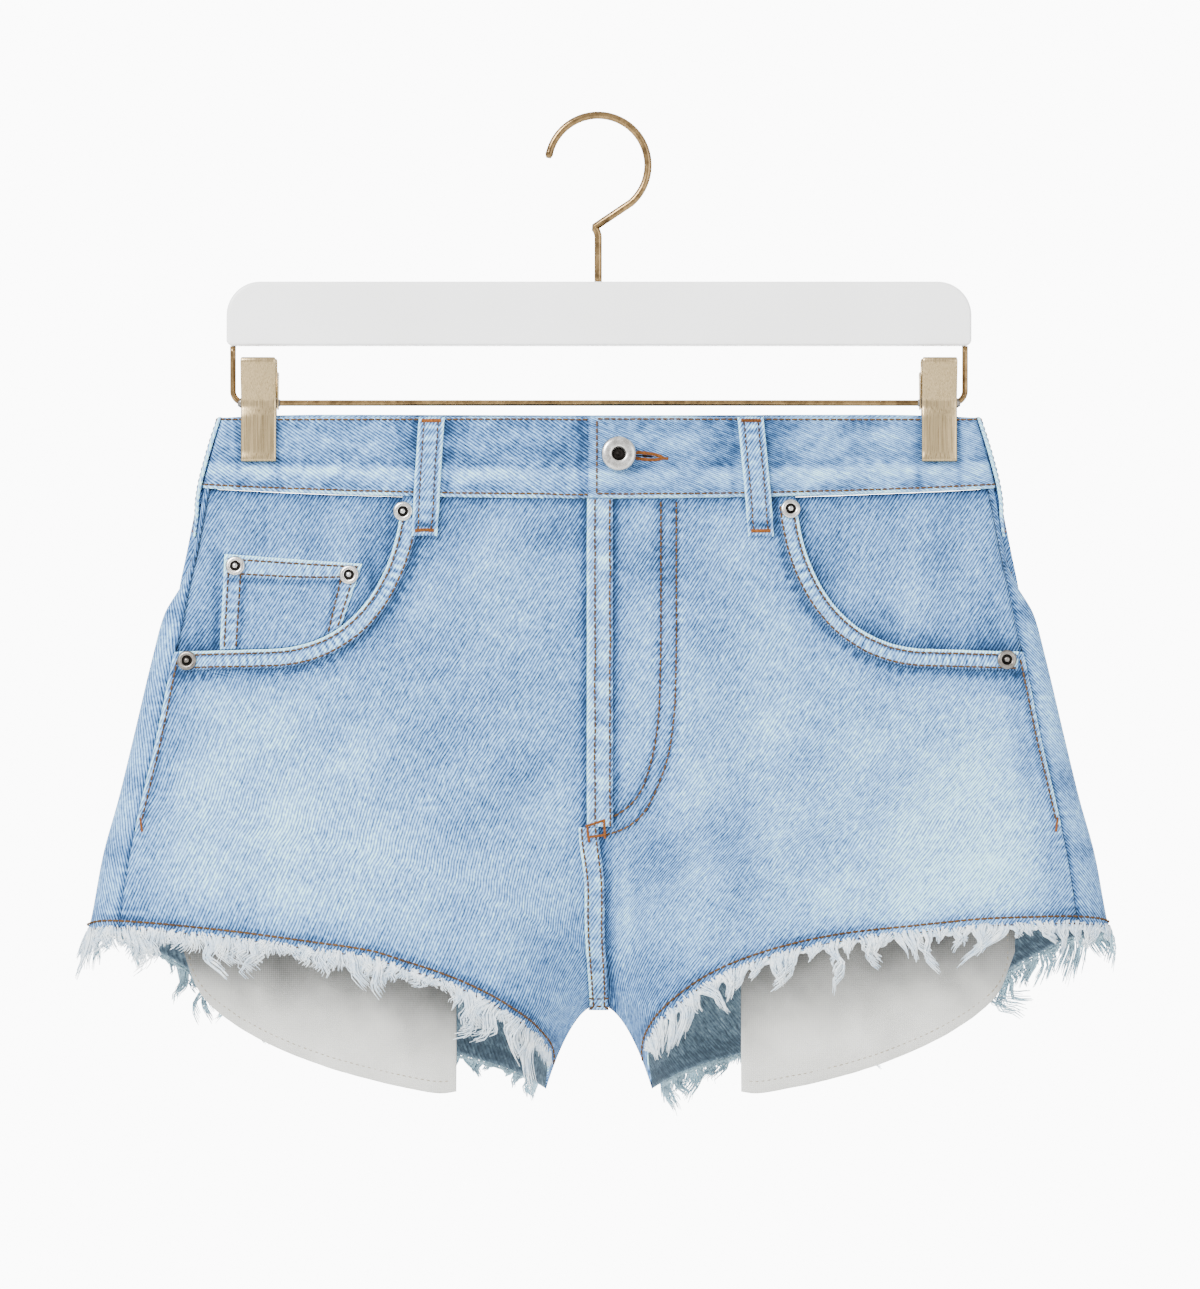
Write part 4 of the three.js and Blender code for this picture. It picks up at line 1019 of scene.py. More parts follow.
def panel_place(side):
    """A front panel as a patch between four edges: the middle edge with the inseam, the scoop with the side
    seam, the waist seam and the hem. Opposite edges are blended, the two blends are added, and the blend of
    the four corners is taken away."""
    hem = hem_z[side]
    end_z = float(hem(HEM_SEAM_TURN))

    def middle(t):
        above = lerp(CROTCH_Z, waist_seam_z(0.0) - GAP, np.clip(1 - t / CROTCH_ROW, 0, 1) ** 1.35)
        below = lerp(CROTCH_Z, INSEAM_Z, np.clip((t - CROTCH_ROW) / (1 - CROTCH_ROW), 0, 1) ** 2)
        upper = t <= CROTCH_ROW
        z = np.where(upper, above, below)
        return np.where(upper, side * middle_x(z) + GAP * 0.7, inner_x(z) + GAP / 2), z

    def outer_edge(t):
        sx, sz = scoop(np.clip(t / CORNER_ROW, 0, 1))
        low = lerp(SCOOP_END_Z, end_z, np.clip((t - CORNER_ROW) / (1 - CORNER_ROW), 0, 1))
        upper = t <= CORNER_ROW
        return np.where(upper, sx, section["seam"](low) + 0.25), np.where(upper, sz, low)

    def top(s):
        x = lerp(middle(np.array(0.0))[0], outer_edge(np.array(0.0))[0], s)
        return x, waist_seam_z(x) - GAP

    def bottom(s):
        turn = HEM_SEAM_TURN * s
        z = hem(turn)
        inner = inner_x(z)
        x = inner + (section["half"](z) - inner) * np.sin(hem_turn(side, turn) * math.pi / 2)
        return x + lerp(GAP / 2, 0.25, s), z

    def place(s, t, lift):
        total = []
        for k in (0, 1):
            m0, m1 = (middle(np.array(v))[k] for v in (0.0, 1.0))
            o0, o1 = (outer_edge(np.array(v))[k] for v in (0.0, 1.0))
            edges = middle(t)[k] * (1 - s) + outer_edge(t)[k] * s + top(s)[k] * (1 - t) + bottom(s)[k] * t
            total.append(edges - (1 - s) * (1 - t) * m0 - s * (1 - t) * o0 - (1 - s) * t * m1 - s * t * o1)
        x, z = side * total[0], total[1]
        from_seam, run = near(x, z, SEAM_XZ[side])
        felled = 0.65 * ramp(7.0, 5.2, from_seam) * ramp(-356, -348, z) * ramp(-262, -270, z)
        pucker = 0.12 * ladder(run, 1.4, 5.2) * bell(from_seam, 0, 6)
        return on_front(x, z, lift + felled + pucker * ramp(0, 2, from_seam))

    return place


PANEL = {side: panel_place(side) for side in (-1, 1)}


def uneven(stops, counts):
    """Shares that run from stop to stop, each stretch cut into its own count of equal steps."""
    parts = [np.linspace(a, b, n, endpoint=False) for a, b, n in zip(stops[:-1], stops[1:], counts)]
    return np.concatenate(parts + [[stops[-1]]])


def front_panel(side):
    """One front panel."""
    across = uneven([0, 0.0025, 0.05, 0.9, 0.997, 1], [1, 8, 92, 16, 1])
    down = uneven([0, 0.0022, CORNER_ROW, CROTCH_ROW, 0.97, 0.9975, 1], [1, 72, 52, 20, 6, 1])
    name = "front_panel_" + side_name(side)
    made = cloth_wall(name + "_cloth", across, down, PANEL[side], LAYER["panel"], LAYER["panel"] - DENIM,
                      lambda s, t, p: front_tone(p[..., 0], p[..., 2], side))
    return settle(dress(made, DENIM_FACE, DENIM_INSIDE_SHADED), "denim", name)


# Back panels and yokes
YOKE_SIDE_Z = -224.0
YOKE_MIDDLE_Z = -256.0


def yoke_z(turn):
    """The yoke seam's height by turn: lowest at the back middle."""
    return lerp(YOKE_MIDDLE_Z, YOKE_SIDE_Z, ramp(-0.35, 1, 2 - turn))


def station_turn(station, z):
    """Stations up to 1 are shares of the way from the side seam to the fold, and past it they are turns."""
    seam = turn_at(section["seam"](z), z) + 0.0012
    return np.where(station >= 1, station, lerp(seam, 1.0, np.minimum(station, 1)))


BACK_ACROSS = uneven([0, 0.02, 0.5, 0.9, 1, 1.1, 1.25, 1.6, 1.985, 1.9994],
                     [1, 10, 14, 10, 14, 14, 28, 36, 2])


def back_panel(side):
    """One back panel, from the side seam on the front round the fold to the back middle."""
    share = (YOKE_MIDDLE_Z - CROTCH_Z) / (YOKE_MIDDLE_Z - INSEAM_Z)
    down = uneven([0, 0.004, share, 0.97, 0.997, 1], [1, 68, 16, 4, 1])

    def place(station, t, lift):
        guess = station_turn(station, np.full(station.shape, -400.0))
        top = yoke_z(station_turn(station, np.full(station.shape, YOKE_SIDE_Z))) - GAP / 2
        z = lerp(top, hem_z[side](guess), t)
        return round_half(side, station_turn(station, z), z, lift)

    name = "back_panel_" + side_name(side)
    made = cloth_wall(name + "_cloth", BACK_ACROSS, down, place, LAYER["panel"], LAYER["panel"] - DENIM,
                      lambda s, t, p: back_tone(p, side))
    return settle(dress(made, DENIM_FACE, DENIM_INSIDE_SHADED), "denim", name)


def back_yoke(side):
    """One half of the yoke."""
    def place(station, t, lift):
        guess = station_turn(station, np.full(station.shape, YOKE_SIDE_Z))
        top = waist_seam_z(section["half"](-190.0) * np.sin(guess * math.pi / 2)) - GAP * 1.5
        z = lerp(top, yoke_z(guess) + GAP / 2, t)
        return round_half(side, station_turn(station, z), z, lift)

    name = "back_yoke_" + side_name(side)
    made = cloth_wall(name + "_cloth", BACK_ACROSS, edged(22, 50), place, LAYER["panel"],
                      LAYER["panel"] - DENIM,
                      lambda s, t, p: back_tone(p, side, False)
                      + seam_shade((1 - t) * 50, p[..., 0], 0.7, 0.14, 4))
    return settle(dress(made, DENIM_FACE, DENIM_INSIDE_SHADED), "denim", name)


# Waistband
BAND_HALF = float(section["half"](-170.0))
UNDERLAP_X = 24.0
BUTTON_X = 9.7
BUTTON_Z = -168.2
# The front belt loops' x at the top and at the bottom
FRONT_LOOP_X = ((-83.2, -86.8), (75.3, 80.7))


def band_turn(x):
    """The turn at which |x| lies on the waistband's front."""
    return math.asin(x / BAND_HALF) * 2 / math.pi


UNDERLAP_TURN = band_turn(UNDERLAP_X)
END_TURN = band_turn(-FLY_EDGE_X + GAP)


def band_place(station, t, lift):
    """The waistband by distance round it: station runs from the underlap behind the fly, at minus its turn,
    over the left side to 2 at the back middle, and on to 4 plus the overlap at its buttonhole end. A soft
    crease runs along it at 0.72 of its depth, and it ripples beside the button."""
    station, t, lift = floats(station, t, lift)
    left = station <= 2
    turn = np.where(left, station, 4 - station)
    side = np.where(left, -1.0, 1.0)
    under = np.where(left, 1 - ramp(band_turn(7.0), band_turn(38.0), turn), 0.0)
    x = BAND_HALF * np.sin(turn * math.pi / 2)
    back_rise = np.where(turn > 1, 1.6 * ramp(1, 1.5, turn), 0.0)
    z = lerp(WAIST_TOP_Z + back_rise, waist_seam_z(x), t)
    level = ramp(0.05, 0.3, np.abs(1 - turn))
    wander = 0.03 * np.sin(x * side / 31)
    ridge = 0.75 * bell(t - 0.7, wander, 0.09) - 0.35 * bell(t, 0.56, 0.1)
    front = ramp(0.9, 0.6, turn)
    ripple = 0.35 * waves(x * side, z * 1.7, 22, 12) + 0.12 * waves(x * side, z, 9, 13)
    near_button = bell(x * side, -26, 34)
    slanted = 0.5 * np.sin((x * side * 0.8 + z * 1.1) / 3.4) * near_button
    shift = under * (LAYER["underlap"] - LAYER["band"]) + (ridge + (ripple + slanted) * front) * level
    inward = under * 0.6 * (LAYER["underlap"] - LAYER["band"])
    keep = np.where(lift > 0, shift, np.minimum(shift, 0) * 0.4 + inward)
    point_left = round_half(-1, turn, z, lift + keep)
    point_right = round_half(1, turn, z, lift + keep)
    return np.where(left[..., None], point_left, point_right)


BAND_STOPS = [-UNDERLAP_TURN, -UNDERLAP_TURN + 0.004, 0, 0.9, 1, 1.1, 2, 2.9, 3, 3.1, 4, 4 + END_TURN - 0.004,
              4 + END_TURN]
BAND_COUNTS = [1, 14, 90, 26, 26, 70, 70, 26, 26, 90, 5, 1]


def band_tone(s, t, p):
    """The band's wash: paler on its crease and edges, mottled between, rungs above the lower stitches, and
    painted shadow beside the front loops, the clips and the end that laps over at the button.
    """
    x, z = p[..., 0], p[..., 2]
    tone = 0.49 + 0.07 * waves(x, z * 2.5, 26, 41) + 0.04 * waves(x, z, 8, 42)
    tone = tone + 0.2 * bell(t, 0.71, 0.08) + 0.2 * ramp(0.05, 0.0, t)
    tone = tone + 0.06 * ramp(0.66, 0.76, t)
    tone = tone - 0.2 * bell(t, 0.59, 0.045) * (0.6 + 0.7 * ladder(x, 1.3, 11))
    tone = tone - 0.2 * bell(t, 0.9, 0.03) * (0.8 + 0.5 * ladder(x, 0.3, 7.5))
    tone = tone + 0.24 * ramp(0.96, 0.985, t) + seam_shade(t * 40 - 3, x, 1.9, 0.14, 3)
    # Painted shadow beside each front belt loop
    for loop_x, _ in FRONT_LOOP_X:
        beside = np.abs(x - loop_x)
        tone = tone - 0.25 * bell(beside, 8, 2.2)
        tone = tone - 0.16 * bell(beside, 13, 7) * ramp(0.74, 0.55, t)
    # Painted shadow beside both jaws of each clip
    for clip_x in (-CLIP_X, CLIP_X):
        tone = tone - 0.2 * bell(np.abs(x - clip_x), 10, 2.0)
    tone = tone - 0.16 * oval(x, z, -26, -166, 22, 12)
    # Painted shadow beside the band's end that laps over at the button
    tone = tone - 0.3 * bell(x, -8, 2.5)
    return tone - 0.2 * oval(x, z, 30, -176, 20, 7)


def waistband():
    """The waistband, one piece all round."""
    made = cloth_wall("waistband_cloth", uneven(BAND_STOPS, BAND_COUNTS), edged(26, 40), band_place,
                      LAYER["band"], LAYER["band"] - BAND, band_tone, soft=0.38)
    return settle(dress(made, BAND_FACE, BAND_FACE), "band_denim", "waistband")


# Pockets
MOUTH_WIDTH = 9.5
MOUTH_LENGTH = 185
FACING_UNDER = (12.0, 2.5)


def mouth_place(side):
    """The turned, double-stitched edge of the scoop, crowned between its stitch rows and drawn into rungs."""
    def place(s, t, lift):
        x, z = beside_scoop(lerp(0.02, 0.985, t), lerp(-0.1, MOUTH_WIDTH, s))
        z = np.minimum(z, waist_seam_z(x) - GAP)
        rows = bell(s, 0.2, 0.07) + bell(s, 0.86, 0.07)
        between = bell(s, 0.53, 0.24)
        rung = ladder(t * MOUTH_LENGTH, 0.9, 4.6)
        shape = -0.28 * rows + 0.2 * rung * between + 0.25 * bell(s, 0, 0.12)
        return on_front(side * x, z, lift + np.where(lift > 0.8, shape, 0))
    return place


def mouth_tone(s, t, p):
    """A white worn edge, rungs between the stitch rows, and indigo left beside them."""
    rungs = ladder(t * MOUTH_LENGTH, 0.9, 4.6) * bell(s, 0.56, 0.24)
    tone = 0.62 + 0.34 * ramp(0.2, 0.05, s) + 0.38 * rungs
    return tone - 0.3 * bell(s, 0.27, 0.07) - 0.42 * ramp(0.82, 0.98, s)


def pocket_mouth(side):
    """The pocket mouth's turned edge."""
    made = cloth_wall("pocket_mouth_" + side_name(side) + "_cloth", edged(17, 9.5, 0.4), edged(120, 190),
                      mouth_place(side), LAYER["strip"], GAP, mouth_tone, soft=0.42)
    return settle(dress(made, DENIM_FACE, DENIM_INSIDE_SHADED), "band_denim", "pocket_mouth_" + side_name(side))


def pocket_facing(side):
    """The facing that fills the scoop and runs on under the panel's edge: ruled lines from the scoop to
    the side seam, with the top one raised to the waist seam."""
    def ruled(s, t):
        under = lerp(FACING_UNDER[0], FACING_UNDER[1], ramp(0.55, 0.85, t))
        ix, iz = beside_scoop(t, under)
        iz = np.minimum(iz, waist_seam_z(ix) - GAP)
        outer_z = lerp(waist_seam_z(195.0) - GAP, SCOOP_END_Z - 1, t)
        return lerp(ix, section["seam"](outer_z) + 5.0, s), lerp(iz, outer_z, s)

    def place(s, t, lift):
        x, z = ruled(s, t)
        top_x, top_z = ruled(s, 0 * t)
        z = z + (waist_seam_z(top_x) - GAP - top_z) * ramp(0.15, 0.0, t)
        sink = 0.9 * ramp(186, 196, x) * ramp(-256, -263, z) + 0.5 * ramp(-2, 1, x - section["seam"](z))
        return on_front(side * x, z, lift - sink)

    def tone(s, t, p):
        x, z = p[..., 0], p[..., 2]
        distance, _ = near(x, z, SCOOP_XZ[side])
        base = 0.44 + 0.1 * oval(np.abs(x), z, 150, -232, 34, 22)
        # Darker towards the scoop, beside the coin pocket's sides and under the waist seam: painted shadow of
        # those raised edges, with indigo left in the seams
        base = base - 0.32 * np.exp(-distance / 5) + 0.06 * waves(x, z, 30, 51)
        if side < 0:
            beside = np.minimum(np.abs(x + 191), np.abs(x + 115.5 + (z + 222) * 0.28))
            base = base - 0.24 * bell(beside, 0, 2.6) * ramp(-214, -220, z)
        return base - 0.4 * np.exp(-np.abs(z - waist_seam_z(x)) / 3) * (0.85 + 0.3 * ladder(x, 1.5, 7))

    name = "pocket_facing_" + side_name(side)
    made = cloth_wall(name + "_cloth", edged(60, 110), edged(64, 85), place, LAYER["facing"],
                      LAYER["facing"] - 1, tone)
    return settle(dress(made, DENIM_FACE, DENIM_INSIDE_SHADED), "denim", name)


COIN_TOP = ((187.0, -217.5), (118.0, -222.5))
COIN_SHARES = (0.865, 0.47)
COIN_WIDE = 66
COIN_TALL = 42


def coin_place(s, t, lift):
    """The coin pocket: straight lines from its top edge down to the scoop."""
    tx, tz = lerp(COIN_TOP[0][0], COIN_TOP[1][0], s), lerp(COIN_TOP[0][1], COIN_TOP[1][1], s)
    bx, bz = beside_scoop(lerp(COIN_SHARES[0], COIN_SHARES[1], s), -0.7)
    return on_front(-lerp(tx, bx, t), lerp(tz, bz, t), lift)


def coin_tone(s, t, p):
    """Pale hems along the top and both sides, with a darker middle."""
    top = t * COIN_TALL
    side = np.minimum(s, 1 - s) * COIN_WIDE
    worn = 0.3 * ramp(1.3, 0, np.minimum(top, side))
    tone = 0.48 + 0.2 * ramp(10, 8.5, top) + 0.16 * ramp(9, 7.5, side) + worn
    tone = tone - 0.26 * bell(top, 11, 1.6) - 0.22 * bell(side, 10, 1.6) * ramp(9, 11, top)
    tone = tone + seam_shade(np.abs(top - 5), s * COIN_WIDE, 0.6, 0.2, 3)
    return tone + seam_shade(np.abs(side - 5), t * COIN_TALL, 1.4, 0.2, 3)


def coin_pocket():
    """The coin pocket on the left facing."""
    made = cloth_wall("coin_pocket_cloth", edged(48, 66, 0.5), edged(34, 44, 0.5), coin_place, LAYER["coin"],
                      LAYER["facing"] + GAP, coin_tone, soft=0.35)
    return settle(dress(made, DENIM_FACE, DENIM_INSIDE_SHADED), "denim", "coin_pocket")


BAG_SHARE = [0, 0.06, 0.2, 0.38, 0.54, 0.68, 0.81, 0.91, 1]
bag_bottom_x = through(BAG_SHARE, [71, 78, 97, 123, 145, 166, 185, 199, 208])
bag_bottom_z = through(BAG_SHARE, [-485, -486, -483, -477, -470, -461, -450, -437, -416])
BAG_TOP_Z = -204.0
BAG_PLUMB_Z = -278.0
BAG_DROP = 245
BAG_WIDE = 130


def bag_place(side):
    """A pocket bag: sewn behind the facing, plumb below it, with slack ripples and a seam line 5 mm inside
    its lower curve."""
    def place(s, t, lift):
        x = lerp(lerp(84.0, 186.0, s), bag_bottom_x(s), ramp(0.15, 0.7, t))
        z = lerp(BAG_TOP_Z, bag_bottom_z(s), t)
        low = ramp(BAG_PLUMB_Z, -330, z)
        groove = bell((1 - t) * BAG_DROP, 5, 0.9) + bell((1 - s) * BAG_WIDE, 5, 0.9)
        billow = 0.9 * waves(x, z * 0.5, 60, 61 + side) + 0.2 * waves(x, z, 17, 63) - 0.25 * groove
        billow = billow + 0.9 * waves(x, z * 0.7, 34, 65 + side) * ramp(-396, -428, z)
        hung = on_front(side * x, np.maximum(z, BAG_PLUMB_Z), lift + low * billow)
        hung[..., 2] = z
        return hung
    return place


BAG = {side: bag_place(side) for side in (-1, 1)}


def pocket_bag(side):
    """One pocket bag of lining cotton. Its colour goes greyer towards the front hem and above it, for the
    shade that the leg casts there."""
    hem_at = through(*zip(*HEM[side]))

    def tone(s, t, p):
        below_hem = hem_at(np.abs(p[..., 0])) - p[..., 2]
        return 1.06 - 0.46 * ramp(56, 6, below_hem) - 0.1 * ramp(20, 0, below_hem)

    name = "pocket_bag_" + side_name(side)
    made = cloth_wall(name + "_cloth", edged(46, 135), edged(80, 280), BAG[side], LAYER["bag"],
                      LAYER["bag"] - COTTON, tone)
    return settle(dress(made, LINING, LINING), "cotton", name)


BACK_POCKET = {"inner": 38.0, "outer": 156.0, "top": -274.0, "side": -384.0, "point": -406.0, "inset": 5.0}
POCKET_WIDE = 115
POCKET_TALL = 118


def back_pocket_place(side):
    """A five-cornered patch on the back panel, slightly full below its mouth."""
    b = BACK_POCKET

    def place(s, t, lift):
        inset = b["inset"] * t
        x = lerp(b["inner"] + inset, b["outer"] - inset, s)
        z = lerp(b["top"], lerp(b["side"], b["point"], 1 - np.abs(2 * s - 1)), t)
        full = 0.5 * np.sin(math.pi * s) * np.sin(math.pi * np.clip(t, 0, 1))
        return on_back(side * x, z, lift + full)
    return place


def back_pocket(side):
    """One back patch pocket."""
    def tone(s, t, p):
        edge = np.minimum(np.minimum(s, 1 - s) * POCKET_WIDE, np.minimum(t, 1 - t) * POCKET_TALL)
        hem = bell(t * POCKET_TALL, 16, 3)
        shade = 0.6 + 0.04 * waves(p[..., 0], p[..., 2], 40, 71) + 0.2 * ramp(2.2, 0, edge)
        return shade - 0.14 * hem + seam_shade(np.abs(edge - 5), (s + t) * 117, 0.5, 0.14, 2.6)

    name = "back_pocket_" + side_name(side)
    made = cloth_wall(name + "_cloth", edged(60, 115), edged(60, 120), back_pocket_place(side),
                      LAYER["strip"], GAP, tone, soft=0.35)
    return settle(dress(made, DENIM_FACE, DENIM_INSIDE_SHADED), "denim", name)


# Fly and rise
def strip_place(top_z, bottom_z, left, right, crown):
    """A strip down the front between two heights and two edges, crowned across and clear of the crotch."""
    def place(s, t, lift):
        z = lerp(top_z, bottom_z, t)
        x = lerp(left(z), right(z), s)
        clear = ramp(-385, -422, z)
        shape = crown * np.sin(math.pi * s) + 0.12 * ladder(z, 0.8, 6.0) * bell(s, 0.5, 0.3)
        return on_front(x, z, lift + 0.4 * clear + np.where(lift > 0.8, shape, 0))
    return place


fly_place = strip_place(waist_seam_z(0.0) - GAP, FLY_END_Z, lambda z: middle_x(z) - 0.8,
                        lambda z: middle_x(z) + 12, 0.3)
rise_place = strip_place(FLY_END_Z - GAP, CROTCH_Z - 2.5, lambda z: middle_x(z) - 5.2,
                         lambda z: middle_x(z) + 4.8, 0.25)


def strip_tone(s, t, p):
    """Paler than the panels, whitest along the free edge, with indigo beside the stitches."""
    tone = 0.64 + 0.26 * ramp(0.16, 0.02, s) + 0.1 * waves(p[..., 0] * 2, p[..., 2], 14, 81)
    rungs = 0.12 * ladder(p[..., 2], 0.8, 5.0) * bell(s, 0.6, 0.3)
    tone = tone - 0.22 * ramp(0.8, 0.98, s) + rungs
    return tone - 0.14 * bell(s, 0.38, 0.06)


def front_strips():
    """The fly placket's edge and the felled rise seam below it."""
    fly = cloth_wall("fly_placket_cloth", edged(12, 12, 0.4), edged(90, 163), fly_place, LAYER["strip"], GAP,
                     strip_tone, soft=0.42)
    seam = cloth_wall("rise_seam_cloth", edged(10, 10, 0.4), edged(60, 90), rise_place, LAYER["strip"], GAP,
                      strip_tone, soft=0.42)
    return [settle(dress(fly, DENIM_FACE, DENIM_INSIDE_SHADED), "band_denim", "fly_placket"),
            settle(dress(seam, DENIM_FACE, DENIM_INSIDE_SHADED), "band_denim", "rise_seam")]


# Belt loops
LOOP_WIDTH = 13.0
LOOP_LOW_Z = -209.0
LOOP_THICK = 1.5
LOOP_LENGTH = 60


def loop_place(under, place):
    """A belt loop: proud of the band with a slight arch, then down onto what lies below it. It is crowned
    across, with a shallow groove along each stitch row."""
    def on_loop(s, t, lift):
        s, t, lift = floats(s, t, lift)
        z = lerp(WAIST_TOP_Z - 0.2, LOOP_LOW_Z, t)
        below = ramp(-191, -202, z)
        shift = under + GAP + LOOP_THICK - LAYER["loop"]
        arch = 0.3 + 0.7 * np.sin(math.pi * np.minimum(1, t * 1.3))
        ends = 0.4 * (bell(t, 0, 0.035) + bell(t, 0.97, 0.03))
        rows = bell(np.abs(s), 0.27, 0.06)
        crown = 0.25 * np.cos(math.pi * s) - 0.22 * rows - ends
        outside = np.where(lift > LAYER["loop"] - 0.7, crown, 0)
        return place(s, z, t, lift + lerp(arch, shift, below) + outside)
    return on_loop


def front_loop(x, low_x):
    """Where a front loop lies."""
    return lambda s, z, t, lift: on_front(lerp(x, low_x, t) + s * LOOP_WIDTH, z, lift)


def side_loop(side):
    """Where a side loop lies, across the side fold."""
    return lambda s, z, t, lift: round_half(side, lerp(0.96, 1.165, s + 0.5), z, lift)


LOOPS = {
    "belt_loop_front_left": loop_place(LAYER["strip"], front_loop(*FRONT_LOOP_X[0])),
    "belt_loop_front_right": loop_place(LAYER["panel"], front_loop(*FRONT_LOOP_X[1])),
    "belt_loop_middle": loop_place(LAYER["panel"], lambda s, z, t, lift: on_back(s * LOOP_WIDTH, z, lift)),
    "belt_loop_side_left": loop_place(LAYER["panel"] + 0.4, side_loop(-1)),
    "belt_loop_side_right": loop_place(LAYER["panel"] + 0.4, side_loop(1)),
}


def loop_tone(s, t, p):
    """White folded edges, a mottled middle, dark above the lower tack."""
    rungs = ladder(t * LOOP_LENGTH, 0.4, 5.4) * bell(s, 0, 0.3)
    tone = 0.56 + 0.36 * ramp(0.38, 0.46, np.abs(s)) + 0.22 * rungs
    return tone - 0.25 * bell(t, 0.9, 0.05) - 0.2 * bell(np.abs(s), 0.33, 0.05)


def belt_loop(node):
    """One belt loop."""
    made = cloth_wall(node + "_cloth", edged(19, 13, 0.35) - 0.5, edged(60, 60, 0.35), LOOPS[node],
                      LAYER["loop"], LAYER["loop"] - LOOP_THICK, loop_tone, soft=0.42)
    return settle(dress(made, DENIM_FACE, DENIM_FACE), "band_denim", node)


# Ravelled hems
YARN_RINGS = 7
YARN_SIDES = 4
LOCK_SPACING = 1.9
YARNS_A_LOCK = 9
TUFTS = 120


def yarn_paths(side, back, random, seed):
    """The centre lines of one hem's loose weft, and each yarn's outward direction. A yarn leaves the hem
    square to it and bends over towards the ground. A tuft's locks share their length, lean and curl, and
    lean towards its middle. The yarns of a lock start apart and draw together, and some lie over the edge."""
    start, end = ((1.012, 1.985) if back else (0.012, 0.988))
    turns = np.linspace(start, end, 400)
    run = distances(hem_points(side, turns, -DENIM / 2, 0.2)[0])
    locks = int(run[-1] / LOCK_SPACING)
    spot = (np.arange(locks) + random.uniform(0.1, 0.9, locks)) / locks * run[-1]
    tufts = np.cumsum(random.uniform(4.0, 12.5, TUFTS))
    nearest = np.argmin(np.abs(spot[:, None] - tufts[None]), axis=1)
    pull = tufts[nearest] - spot
    length = lerp(4.5, 23.0, random.beta(1.1, 1.5, TUFTS))[nearest] * random.uniform(0.7, 1.1, locks)
    length = length * (1.15 - 0.1 * np.abs(pull)) * (1 + 0.15 * np.sin(spot / 17 + seed))
    lean = random.normal(0, 0.26, TUFTS)[nearest] + random.normal(0, 0.07, locks)
    lean = lean + 0.25 * np.sin(spot / 9 + seed)
    curl = random.uniform(0.5, 3.2, TUFTS)[nearest] * length / 14
    phase = random.uniform(0, 2 * math.pi, TUFTS)[nearest] + random.normal(0, 0.3, locks)
    rounds = random.uniform(0.6, 1.6, TUFTS)[nearest]
    out_lean = random.normal(0.0 if back else 0.02, 0.1, locks)

    lock = np.repeat(np.arange(locks), YARNS_A_LOCK)
    count = len(lock)
    spread = random.uniform(-1.1, 1.1, count)
    at = np.clip(spot[lock] + spread, 0.4, run[-1] - 0.4)
    over = random.random(count) < 0.4
    lift = np.where(over, 0.3, -DENIM / 2 + random.uniform(-0.4, 0.4, count))
    start_drop = np.where(over, random.uniform(-2.8, -0.6, count), -0.5)
    root, out, down, along = hem_points(side, np.interp(at, run, turns), lift, start_drop)
    along = along * np.sign(along[:, :1] + 1e-9)
    reach = length[lock] * random.uniform(0.72, 1.05, count)

    u = np.linspace(0, 1, YARN_RINGS)[None, :]
    ground = np.array((0.0, 0.0, -1.0))
    drop = down[:, None] * (u - u * u / 2)[..., None] + ground * (u * u / 2)[..., None]
    gather = (-spread[:, None] * 0.75 * u ** 0.8 + random.normal(0, 0.35, count)[:, None] * u
              + 0.72 * pull[lock][:, None] * u ** 1.2)
    swing = lean[lock][:, None] * reach[:, None] * u ** 1.5
    coil = 2 * math.pi * rounds[lock][:, None] * u
    bend = curl[lock][:, None] * (np.sin(coil + phase[lock][:, None])
                                  - np.sin(phase[lock])[:, None]) * u ** 0.6
    wisp = random.normal(0, 0.3, (count, 1)) * np.sin(5 * u + random.uniform(0, 6, (count, 1))) * u
    aside = gather + swing + bend + wisp
    outward = (out_lean[lock][:, None] * reach[:, None] * u + 0.35 * curl[lock][:, None] * np.sin(coil) * u
               + random.normal(0, 0.3, (count, 1)) * u)
    path = (root[:, None] + drop * reach[:, None, None] + along[:, None] * aside[..., None]
            + out[:, None] * outward[..., None])
    return path, out


def fringe(side, back, seed):
    """The loose weft yarns of one hem: thin tubes, wide to the root and thin at the tip."""
    random = np.random.default_rng(seed)
    path, out = yarn_paths(side, back, random, seed)
    count = len(path)
    tangent = unit(np.gradient(path, axis=1))
    first = unit(np.cross(tangent, out[:, None]), 1e-9)
    second = np.cross(first, tangent)
    u = np.linspace(0, 1, YARN_RINGS)
    thick = random.uniform(0.26, 0.48, count)[:, None] * (1 - 0.65 * u ** 2.2)
    angle = np.arange(YARN_SIDES) * 2 * math.pi / YARN_SIDES
    spoke = np.cos(angle)[:, None] * first[:, :, None] + np.sin(angle)[:, None] * second[:, :, None]
    points = path[:, :, None] + spoke * thick[:, :, None, None]
    last = (YARN_RINGS - 1) * YARN_SIDES
    caps = np.array([(3, 2, 1, 0), (last, last + 1, last + 2, last + 3)])
    one = np.concatenate(ring_quads(YARN_RINGS, YARN_SIDES) + [caps])
    faces = one[None] + (np.arange(count) * YARN_RINGS * YARN_SIDES)[:, None, None]
    name = "fray_" + ("back_" if back else "front_") + side_name(side)
    made = make_mesh(name + "_yarns", points.reshape(-1, 3), faces.reshape(-1, 4))
    return settle(dress(made, BACK_YARN if back else FRONT_YARN), "frayed_yarn", name)


